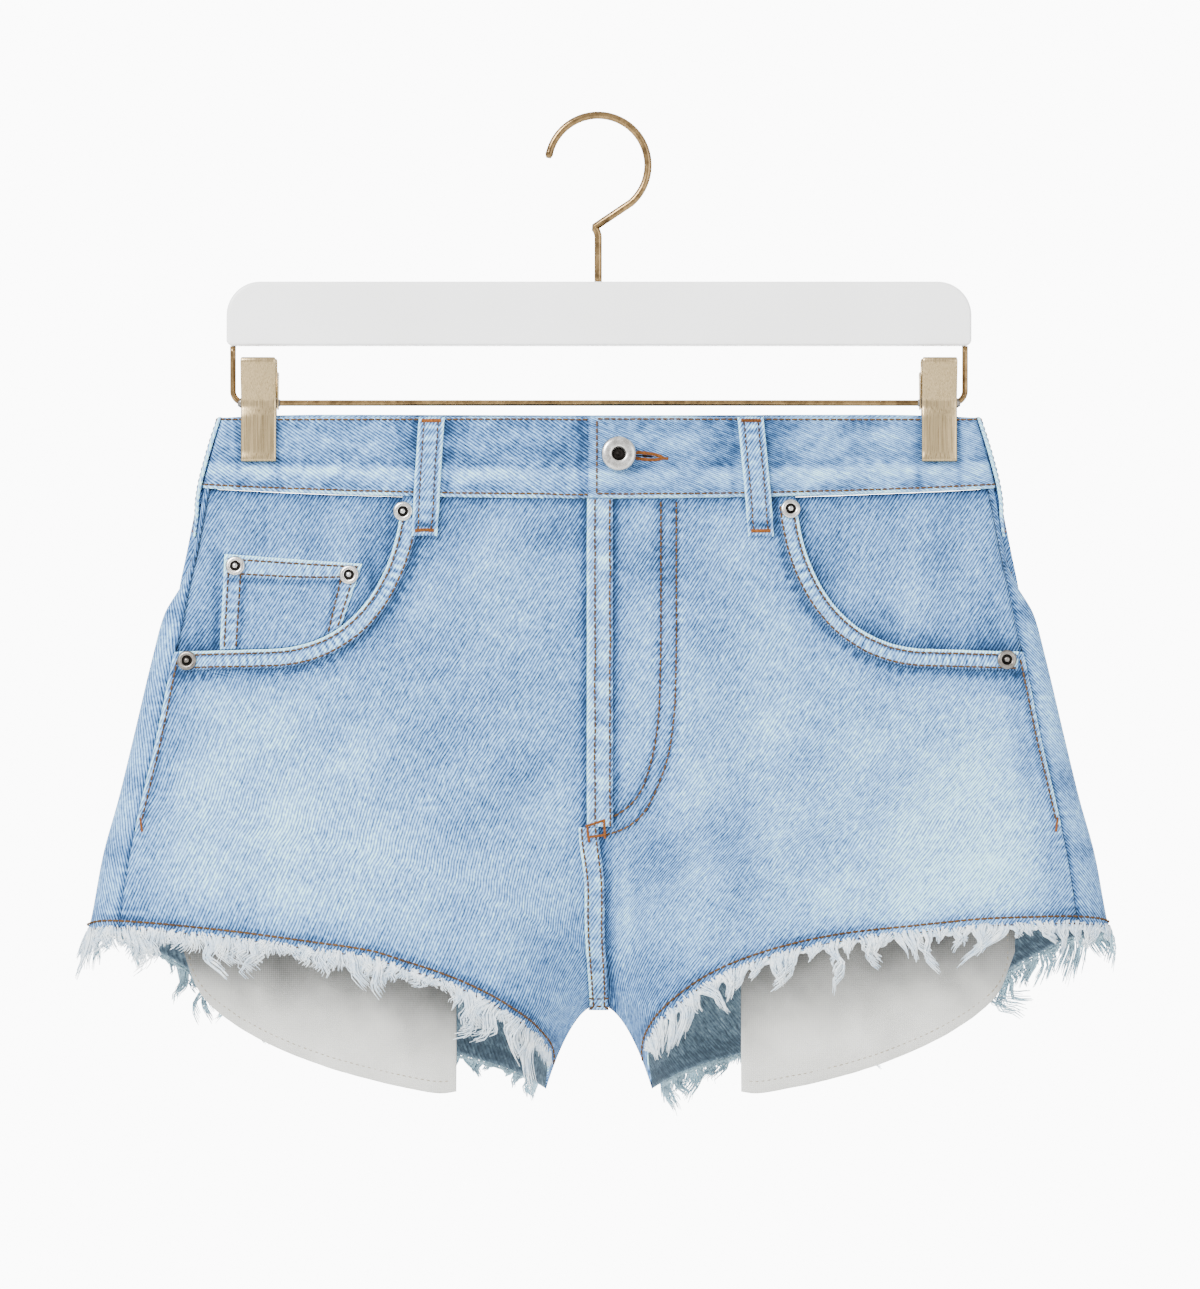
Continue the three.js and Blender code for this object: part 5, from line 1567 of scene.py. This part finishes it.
def ravelled_edge(side, back):
    """The last threads of the weave below the raw edge: a thin wavy strip in which the yarns root."""
    turns = np.linspace(1.01, 1.985, 260) if back else np.linspace(0.014, 0.985, 260)

    def place(s, t, lift):
        ragged = 0.7 * waves(s * 150, 0 * s, 2.2, 91) + 0.4 * waves(s * 150, 0 * s, 9.0, 93)
        depth = lerp(0.25, 1.7, t) + ragged * t
        spread = 0.35 * waves(s * 120, t * 9, 4.0, 92) * t
        return hem_points(side, s, lift + spread, depth)[0]

    name = "ravelled_edge_" + ("back_" if back else "front_") + side_name(side)
    made = cloth_wall(name, turns, np.linspace(0, 1, 5), place, -0.1, -DENIM + 0.1,
                      lambda s, t, p: 0.9 + 0.1 * t)
    return settle(dress(made, BACK_YARN if back else FRONT_YARN, BACK_YARN), "frayed_yarn")


# Stitching
ABOVE = 0.12
FULL = np.linspace(0, 1, 240)
# The fly's bar tacks, from x, z to x, z
FLY_TACKS = [((-6.3, -352.6), (3.0, -349.6)), ((2.4, -350.2), (3.0, -358.4)),
             ((-5.4, -353.0), (-4.8, -360.4)), ((-4.6, -357.8), (2.6, -356.8))]


def stitch_leg(side, brown, back):
    """One leg's rows: pocket mouth, both hems, side seam and yoke."""
    mouth = mouth_place(side)
    for share in (0.2, 0.86):
        brown.path(mouth, share, lerp(0.005, 0.995, FULL), LAYER["strip"] + ABOVE)
    points, out, _, _ = hem_points(side, lerp(0.006, 0.984, FULL), ABOVE, -STITCH_ABOVE_HEM)
    brown.row(points, out, length=3.2, gap=0.2, radius=0.64)
    points, out, _, _ = hem_points(side, FULL[FULL > 0.02] * 0.97, ABOVE, -0.9)
    brown.row(points, out, length=2.4, gap=0.9, radius=0.32)
    points, out, _, _ = hem_points(side, 1 + lerp(0.01, 0.985, FULL), ABOVE, -STITCH_ABOVE_HEM)
    back.row(points, out, length=2.3, gap=0.7)
    seam_z = lerp(-270, -350, FULL)
    seam_x = side * (section["seam"](seam_z) - 2.6)
    brown.path(on_front, seam_x, seam_z, 0.65 + ABOVE)
    for inset in (2.5, 8.5):
        z = yoke_z(FULL + 1) + inset - 5.5
        points = round_half(side, 1 + FULL * 0.998, z, ABOVE)
        back.row(points, round_half(side, 1 + FULL * 0.998, z, ABOVE + 1) - points)


def stitch_pockets(side, back, ecru):
    """The rows of one back pocket and one pocket bag."""
    pocket = back_pocket_place(side)
    top = LAYER["strip"] + ABOVE
    for inset in (0.022, 0.075):
        down = lerp(0.03, 1 - inset, FULL)
        back.path(pocket, inset, down, top)
        back.path(pocket, 1 - inset, down, top)
        back.path(pocket, lerp(inset, 1 - inset, FULL), 1 - inset, top)
    for drop in (0.1, 0.16):
        back.path(pocket, lerp(0.02, 0.98, FULL), drop, top)
    on_bag = LAYER["bag"] + 0.1
    end = 0.962
    low = 1 - 5.2 / BAG_DROP
    ecru.path(BAG[side], lerp(0.03, end, FULL), low, on_bag, length=2.2, gap=0.8, radius=0.26)
    ecru.path(BAG[side], end, lerp(0.62, low, FULL), on_bag, length=2.2, gap=0.8, radius=0.26)


def stitch_middle(brown, back):
    """The back seam, the fly, the rise seam and the waistband's row all round."""
    for x in (-4.2, 4.2):
        back.path(on_back, x, lerp(-196, CROTCH_Z + 6, FULL), ABOVE)
    for share in (0.3, 0.88):
        brown.path(fly_place, share, FULL, LAYER["strip"] + ABOVE)
    for share in (0.17, 0.86):
        brown.path(rise_place, share, FULL, LAYER["strip"] + ABOVE)
    for line in (FLY_OUTER, FLY_INNER):
        run = distances(line)
        smooth_x, smooth_z = through(run, line[:, 0]), through(run, line[:, 1])
        at = lerp(1.5, run[-1], FULL)
        brown.path(on_front, smooth_x(at), smooth_z(at), ABOVE)
    band_top = LAYER["band"] + ABOVE
    end = 4 + END_TURN - 0.014
    around = np.linspace(-UNDERLAP_TURN + 0.02, end, 1400)
    for share in (0.03, 0.95):
        brown.path(band_place, around, share, band_top)
    brown.path(band_place, end, lerp(0.05, 0.95, FULL), band_top)


def stitch_trims(brown, back, tan):
    """The belt loops, the coin pocket, and the bar tacks of the fly and side seams."""
    loop_top = LAYER["loop"] + ABOVE
    for name, place in LOOPS.items():
        rows = back if name == "belt_loop_middle" else brown
        for share in (-0.27, 0.27):
            rows.path(place, share, lerp(0.03, 0.96, FULL), loop_top, length=2.5, gap=0.45, radius=0.4)
        for height in (0.03, 0.955):
            tan.tack(place, np.linspace(-0.38, 0.38, 40), height, loop_top, 2.0)
    coin_top = LAYER["coin"] + ABOVE
    for drop in (0.05, 0.2):
        brown.path(coin_place, lerp(0.02, 0.98, FULL), drop, coin_top)
    for inset in (0.035, 0.125):
        for share in (inset, 1 - inset):
            brown.path(coin_place, share, lerp(0.04, 0.98, FULL), coin_top)
    for (ax, az), (bx, bz) in FLY_TACKS:
        tan.tack(on_front, np.linspace(ax, bx, 30), np.linspace(az, bz, 30), LAYER["strip"] + 0.5, 1.4)
    for side in (-1, 1):
        x = side * (float(section["seam"](-352.0)) - 2)
        tan.tack(on_front, np.linspace(x, x - side, 20), np.linspace(-349, -356, 20), 0.6, 1.3)
    for height in (-438.5, -443.5):
        brown.path(on_front, np.linspace(-6, 6, 40), height, 1.9)


def stitch_garment():
    """All the rows of topstitching, the bar tacks and the bags' seams."""
    brown = Thread("topstitching_front")
    back = Thread("topstitching_back")
    tan = Thread("bar_tacks")
    ecru = Thread("bag_seam_stitches")
    for side in (-1, 1):
        stitch_leg(side, brown, back)
        stitch_pockets(side, back, ecru)
    stitch_middle(brown, back)
    stitch_trims(brown, back, tan)
    return [settle(dress(thread.finish(), made), slot) for thread, made, slot in (
        (brown, TOPSTITCH, "band_denim"), (back, TOPSTITCH, "denim"),
        (tan, TACK_THREAD, "band_denim"), (ecru, LINING_THREAD, "cotton"))]


def plain(s, t, p):
    """Tone 0 everywhere, for pieces without a wash."""
    return 0 * s


def slot_z(x):
    """The height of the buttonhole's slanted middle line."""
    return BUTTON_Z - 0.4 - (x - 18) * 0.09


def buttonhole():
    """A keyhole buttonhole in the band: a tight hedge of stitches round a slit, closed by a small bar. The
    hedge follows a long oval, x by cosine and z by sine."""
    hedge = Thread("buttonhole_stitches")
    angle = np.linspace(0, 2 * math.pi, 200)
    x = 24 + 7.5 * np.cos(angle)
    z = slot_z(x) + 1.5 * np.sin(angle) * (1 + 0.35 * bell(x, 18, 3))
    band_top = LAYER["band"]

    def on_band(px, pz, lift):
        station = 4 - np.arcsin(px / BAND_HALF) * 2 / math.pi
        return band_place(station, (pz - WAIST_TOP_Z) / (waist_seam_z(px) - WAIST_TOP_Z), lift)

    hedge.tack(on_band, x, z, band_top + 0.1, 1.9)
    hedge.tack(on_band, np.linspace(31.5, 34.5, 20), np.linspace(-170, -170.2, 20), band_top + 0.25, 1.6)
    stitches = settle(dress(hedge.finish(), TACK_THREAD), "band_denim")

    def slit_place(s, t, lift):
        px = lerp(17.5, 29.5, s)
        pz = slot_z(px) + lerp(-0.55, 0.55, t) * np.sin(math.pi * np.clip(s, 0.05, 0.95))
        return on_band(px, pz, lift)

    slit = cloth_wall("buttonhole_slit", np.linspace(0, 1, 16), np.linspace(0, 1, 5), slit_place,
                      band_top + 0.12, band_top - 0.3, plain)
    return [stitches, settle(dress(slit, HOLE, HOLE), "band_denim")]


# Metal trims, as radius and height along the axis
RIVET = [(0, 0), (4.75, 0), (4.9, 0.12), (4.92, 0.6), (4.7, 0.95), (4.2, 1.25), (3.6, 1.38), (3.0, 1.3),
         (2.6, 1.0), (2.3, 0.62), (1.9, 0.45), (1.55, 0.62), (1.4, 1.1), (1.25, 1.55), (0.9, 1.85),
         (0.5, 1.97), (0, 2.0)]
RIVETS = [
    ("scoop_left", -97.5, -196.5, LAYER["strip"] + GAP, "nickel", NICKEL),
    ("scoop_right", 95.5, -195.5, LAYER["strip"] + GAP, "nickel", NICKEL),
    ("side_left", -205, -271, LAYER["strip"] + GAP, "dark_nickel", GUNMETAL),
    ("side_right", 203, -270.5, LAYER["strip"] + GAP, "dark_nickel", GUNMETAL),
    ("coin_outer", -181.5, -223.5, LAYER["coin"] + GAP, "nickel", NICKEL),
    ("coin_inner", -124.5, -228, LAYER["coin"] + GAP, "nickel", NICKEL),
]
BUTTON = [(3.3, 2.0), (3.35, 3.3), (3.6, 3.9), (4.1, 4.2), (5.2, 4.32), (6.6, 4.28), (7.6, 4.0), (8.3, 3.5),
          (8.7, 2.8), (8.8, 2.2), (8.6, 1.7), (8.0, 1.42), (6.5, 1.3), (4.2, 1.2), (4.0, 0.8), (4.0, 0),
          (0, 0), (0, 1.2), (2.0, 1.4), (3.3, 1.6)]
BUTTON_CORE = [(0, 1.3), (3.2, 1.3), (3.2, 1.9), (2.6, 2.2), (1.6, 2.3), (1.2, 2.0), (0.8, 2.5), (0, 2.7)]


def metal_trims():
    """Rivets and the waist button, turned profiles standing square on the cloth."""
    pieces = []
    for name, x, z, lift, slot, made in RIVETS:
        foot = on_front(x, z, lift)
        axis = on_front(x, z, lift + 1) - foot
        cap = lathe("rivet_" + name + "_cap", RIVET, foot, axis, dark=(8, 12))
        pieces.append(settle(dress(cap, made, HOLE), slot, "rivet_" + name))
    lift = LAYER["band"] + 0.7 + GAP
    foot = on_front(BUTTON_X, BUTTON_Z, lift)
    axis = on_front(BUTTON_X, BUTTON_Z, lift + 1) - foot
    ring = lathe("waist_button_ring", BUTTON, foot, axis, 64)
    pieces.append(settle(dress(ring, NICKEL), "nickel", "waist_button"))
    core = lathe("waist_button_core", BUTTON_CORE, foot, axis, 32)
    pieces.append(settle(dress(core, HOLE), "dark_nickel"))
    return pieces


# Hanger
WIRE_RADIUS = 1.9
BAR = {"half": 186.0, "top": -81.5, "bottom": -113.5, "thick": 12.0, "top_corner": 17.0, "low_corner": 3.0,
       "bevel": 1.6}
ROD = {"radius": 1.5, "half": 183.0, "z": -142.0, "bend": 6.0}
CLIP_X = 170.0
SPRING = {"coils": 11, "length": 14.5, "radius": 2.35, "wire": 0.42}


def arc(cx, cz, radius, start, end, count):
    """Points of a circle's arc in the hanger's plane, from angle start to end in degrees."""
    a = np.radians(np.linspace(start, end, count))
    return np.stack((cx + radius * np.cos(a), 0 * a, cz + radius * np.sin(a)), -1)


def hanger_bar():
    """The flat white bar: a rounded outline offset inwards near both faces by a quarter-circle bevel."""
    b = BAR
    corners = [(b["half"] - b["low_corner"], b["bottom"] + b["low_corner"], b["low_corner"], -90),
               (b["half"] - b["top_corner"], b["top"] - b["top_corner"], b["top_corner"], 0),
               (-b["half"] + b["top_corner"], b["top"] - b["top_corner"], b["top_corner"], 90),
               (-b["half"] + b["low_corner"], b["bottom"] + b["low_corner"], b["low_corner"], 180)]
    angle = np.radians(np.concatenate([np.linspace(a, a + 90, 20) for _, _, _, a in corners]))
    centre_x = np.repeat([c[0] for c in corners], 20)
    centre_z = np.repeat([c[1] for c in corners], 20)
    radius = np.repeat([c[2] for c in corners], 20)
    quarter = np.radians(np.linspace(0, 90, 7))
    rounding = b["bevel"] * (1 - np.sin(quarter))
    face_y = b["thick"] / 2
    depth = face_y - b["bevel"] * (1 - np.cos(quarter))
    depth = np.concatenate(([-face_y], -depth, depth[::-1], [face_y]))
    inner = b["bevel"] + 1.2
    inset = np.concatenate(([inner], rounding, rounding[::-1], [inner]))
    reach = radius[:, None] - inset[None]
    x = centre_x[:, None] + reach * np.cos(angle)[:, None]
    z = centre_z[:, None] + reach * np.sin(angle)[:, None]
    points = np.stack((x, np.broadcast_to(depth, reach.shape), z), -1)
    sides, rows = reach.shape
    faces = grid_faces(sides, rows, 0, wrap=True)
    half = sides // 2
    k = np.arange(half - 1)
    caps = []
    for row, flip in ((0, -1), (rows - 1, 1)):
        quad = np.stack((k, k + 1, sides - 2 - k, sides - 1 - k), -1) * rows + row
        caps.append(quad[:, ::flip])
    made = make_mesh("hanger_bar_lacquered", points.reshape(-1, 3), np.concatenate([faces] + caps))
    return settle(dress(made, LACQUER), "white_lacquer", "hanger_bar")


def hanger_wire():
    """The hook, with a rounded tip, and the rod bent down at both ends."""
    bowl = arc(-0.5, WIRE_RADIUS - 25, 25, 172, -48.8, 90)
    neck = arc(-8.4, -59.5, 8, 41.2, 0, 16)
    stem = np.stack((np.full(12, -0.4), np.zeros(12), np.linspace(-61, BAR["top"] + 0.1, 12)), -1)
    path = np.concatenate((bowl, neck, stem))
    radius = np.full(len(path), WIRE_RADIUS)
    radius[:3] = (1.1, 1.75, 2.05)
    hook = tube("hanger_hook_wire", path, radius, 20)
    top = BAR["bottom"] - 0.1
    half, z, bend = ROD["half"], ROD["z"], ROD["bend"]
    legs = np.linspace(top, z + bend + 1, 8)
    span = np.linspace(-half + bend + 1, half - bend - 1, 40)
    rod_path = np.concatenate((
        np.stack((np.full(8, -half), np.zeros(8), legs), -1), arc(-half + bend, z + bend, bend, 180, 270, 10),
        np.stack((span, np.zeros(40), np.full(40, z)), -1), arc(half - bend, z + bend, bend, 270, 360, 10),
        np.stack((np.full(8, half), np.zeros(8), legs[::-1]), -1)))
    rod = tube("hanger_rod_wire", rod_path, ROD["radius"], 14)
    return [settle(dress(hook, WIRE_BRASS), "brass", "hanger_hook"),
            settle(dress(rod, WIRE_BRASS), "brass", "hanger_rod")]


# A clip jaw's profile from top to tip, as y and z
JAW_LINE = np.array([(9.6, -119.7), (10.2, -120.1), (10.45, -121), (9.9, -123.4), (6.4, -134), (4.2, -139.6),
                     (3.85, -141.6), (3.85, -143.4), (4.3, -146), (4.8, -149.5), (4.8, -158), (4.85, -166),
                     (5.2, -168.6), (5.35, -170.1), (4.9, -171.1), (4.35, -171.0), (4.2, -170.2)])
JAW_HALF = 8.8
# The small rivet head where the rod leaves a clip, as radius and distance along the rod
COLLAR = [(0, -0.4), (2.3, -0.4), (2.5, 0.2), (2.4, 0.8), (1.9, 1.4), (1.7, 2.0), (0, 2.1)]


def jaw_place(side, face):
    """A stamped jaw: a bent profile in y and z swept across, crowned by a parabola, with round corners."""
    run = distances(JAW_LINE)
    line_y, line_z = through(run, JAW_LINE[:, 0]), through(run, JAW_LINE[:, 1])

    def place(s, t, lift):
        s, t, lift = floats(s, t, lift)
        at = t * run[-1]
        y, z = line_y(at), line_z(at)
        dy, dz = line_y(at + 0.1) - line_y(at - 0.1), line_z(at + 0.1) - line_z(at - 0.1)
        size = np.hypot(dy, dz)
        size = np.where(size < 1e-6, 1, size)
        corner = np.clip(1 - at / 2.2, 0, 1) ** 2
        x = s * (JAW_HALF - 0.5 * corner)
        crown = 0.8 * (1 - s * s)
        out = face * (y + crown - dz / size * lift)
        return np.stack((side * CLIP_X + x, out, z + dy / size * lift), -1)
    return place


def ear_place(side, face, edge):
    """A thin tab from a jaw's edge towards the rod, rounded at its end."""
    beside = 9.5 if edge * side < 0 else 8.2

    def place(s, t, lift):
        z = lerp(-126.5, -145.5, t)
        root = np.interp(-z, -JAW_LINE[2:11, 1], JAW_LINE[2:11, 0]) - 0.4
        tip = root * 0.25 + 0.5 + 2.6 * np.abs(2 * t - 1) ** 3
        y = lerp(root, np.minimum(tip, root), s)
        return np.stack((side * CLIP_X + edge * (beside + lift) + 0 * z, face * y, z), -1)
    return place


def clips():
    """Both clips: front and back jaws of bent sheet, side ears that carry the rod, and a coiled spring."""
    pieces = []
    for side in (-1, 1):
        name = "clip_" + side_name(side)
        ends = [(edge, "outer" if edge * side > 0 else "inner") for edge in (-1, 1)]
        for face, label in ((-1, "front"), (1, "back")):
            jaw = cloth_wall(f"{name}_{label}_jaw_sheet", edged(17, 18, 0.3) * 2 - 1, edged(70, 54, 0.3),
                             jaw_place(side, face), 0.5, -0.5, plain, soft=0.3)
            pieces.append(settle(dress(jaw, CLIP_BRASS, CLIP_BRASS), "brass", f"{name}_{label}_jaw"))
            for edge, end in ends:
                ear = cloth_wall(f"{name}_{label}_ear_{end}", np.linspace(0, 1, 6), np.linspace(0, 1, 24),
                                 ear_place(side, face, edge), 0.35, -0.35, plain)
                pieces.append(settle(dress(ear, CLIP_BRASS, CLIP_BRASS), "brass"))
        for edge, end in ends:
            foot = np.array((side * CLIP_X + edge * 8.6, 0.0, ROD["z"]))
            collar = lathe(f"{name}_collar_{end}", COLLAR, foot, (edge, 0.0, 0.0), 24)
            pieces.append(settle(dress(collar, GUNMETAL), "brass"))
        angle = np.linspace(0, 2 * math.pi * SPRING["coils"], 420)
        centre = side * (CLIP_X - 0.3)
        coil = np.stack((centre + (angle / angle[-1] - 0.5) * SPRING["length"],
                         SPRING["radius"] * np.cos(angle), ROD["z"] + SPRING["radius"] * np.sin(angle)), -1)
        spring = tube(name + "_spring_coil", coil, SPRING["wire"], 8, flat=(1.0, 0.0, 0.0))
        pieces.append(settle(dress(spring, GUNMETAL), "brass", name + "_spring"))
    return pieces


# The pieces
panels = {side: front_panel(side) for side in (-1, 1)}
backs = {side: back_panel(side) for side in (-1, 1)}
yokes = {side: back_yoke(side) for side in (-1, 1)}
facings = {side: pocket_facing(side) for side in (-1, 1)}
mouths = {side: pocket_mouth(side) for side in (-1, 1)}
bags = {side: pocket_bag(side) for side in (-1, 1)}
patches = {side: back_pocket(side) for side in (-1, 1)}
coin = coin_pocket()
band = waistband()
fly, rise_seam = front_strips()
loops = {node: belt_loop(node) for node in LOOPS}
front_yarns = {side: fringe(side, False, 101 + side) for side in (-1, 1)}
back_yarns = {side: fringe(side, True, 111 + side) for side in (-1, 1)}
front_edges = {side: ravelled_edge(side, False) for side in (-1, 1)}
back_edges = {side: ravelled_edge(side, True) for side in (-1, 1)}
stitching = stitch_garment()
hole = buttonhole()
metal_trims()
hanger_bar()
hanger_wire()
clip_pieces = clips()


# Stage, light and camera
FLOOR_Z = -0.85
CAMERA_DISTANCE = 3.5
VIEW_CENTRE = (0.0005, -0.26275)
VIEW_WIDTH = 0.6
SENSOR = 36
# The area lamps: name, place, size and power. Each faces AIM.
LAMPS = [
    ("key", (-1.7, -2.0, 1.5), 1.0, 185),
    ("fill", (1.9, -2.1, 0.2), 1.6, 36),
    ("back", (0.3, 2.2, 1.2), 1.6, 60),
]
AIM = (0.0, 0.0, -0.3)


def stage():
    """A pale floor below the hanging object, three large lamps, and a soft surround that is bright only
    straight behind the object."""
    reach = 2.5
    mesh = bpy.data.meshes.new("floor")
    mesh.from_pydata([(-reach, -reach, FLOOR_Z), (reach, -reach, FLOOR_Z), (reach, reach, FLOOR_Z),
                      (-reach, reach, FLOOR_Z)], [], [(0, 1, 2, 3)])
    floor = place_object("floor", mesh)
    made, _, _ = new_material("pale_floor_paint", Base_Color=rgb("#f2f2f0"), Roughness=0.8)
    floor.data.materials.append(made)
    world = bpy.data.worlds.new("studio")
    bpy.context.scene.world = world
    world.use_nodes = True
    surround = world.node_tree.nodes["Background"]
    surround.inputs["Color"].default_value = rgb("#ffffff")
    towards = add(world.node_tree, "ShaderNodeTexCoord").outputs["Generated"]
    split = add(world.node_tree, "ShaderNodeSeparateXYZ", None, Vector=towards)
    behind = add(world.node_tree, "ShaderNodeMapRange", {"From Min": 0.86, "From Max": 0.985, "To Min": 1.6,
                                                         "To Max": 11.0}, Value=split.outputs["Y"])
    world.node_tree.links.new(behind.outputs[0], surround.inputs["Strength"])
    for name, place, size, power in LAMPS:
        lamp = bpy.data.lights.new(name, "AREA")
        lamp.size = size
        lamp.energy = power
        thing = place_object(name, lamp)
        thing.location = place
        aim = np.array(AIM) - np.array(place)
        thing.rotation_euler = (math.acos(-aim[2] / np.linalg.norm(aim)), 0, math.atan2(-aim[0], aim[1]))


def camera():
    """A level long lens in front, square to the hanger."""
    lens = bpy.data.cameras.new("camera")
    lens.sensor_fit = "HORIZONTAL"
    lens.sensor_width = SENSOR
    lens.lens = SENSOR * CAMERA_DISTANCE / VIEW_WIDTH
    thing = place_object("camera", lens)
    thing.location = (VIEW_CENTRE[0], -CAMERA_DISTANCE, VIEW_CENTRE[1])
    thing.rotation_euler = (math.pi / 2, 0, 0)
    bpy.context.scene.camera = thing


stage()
camera()
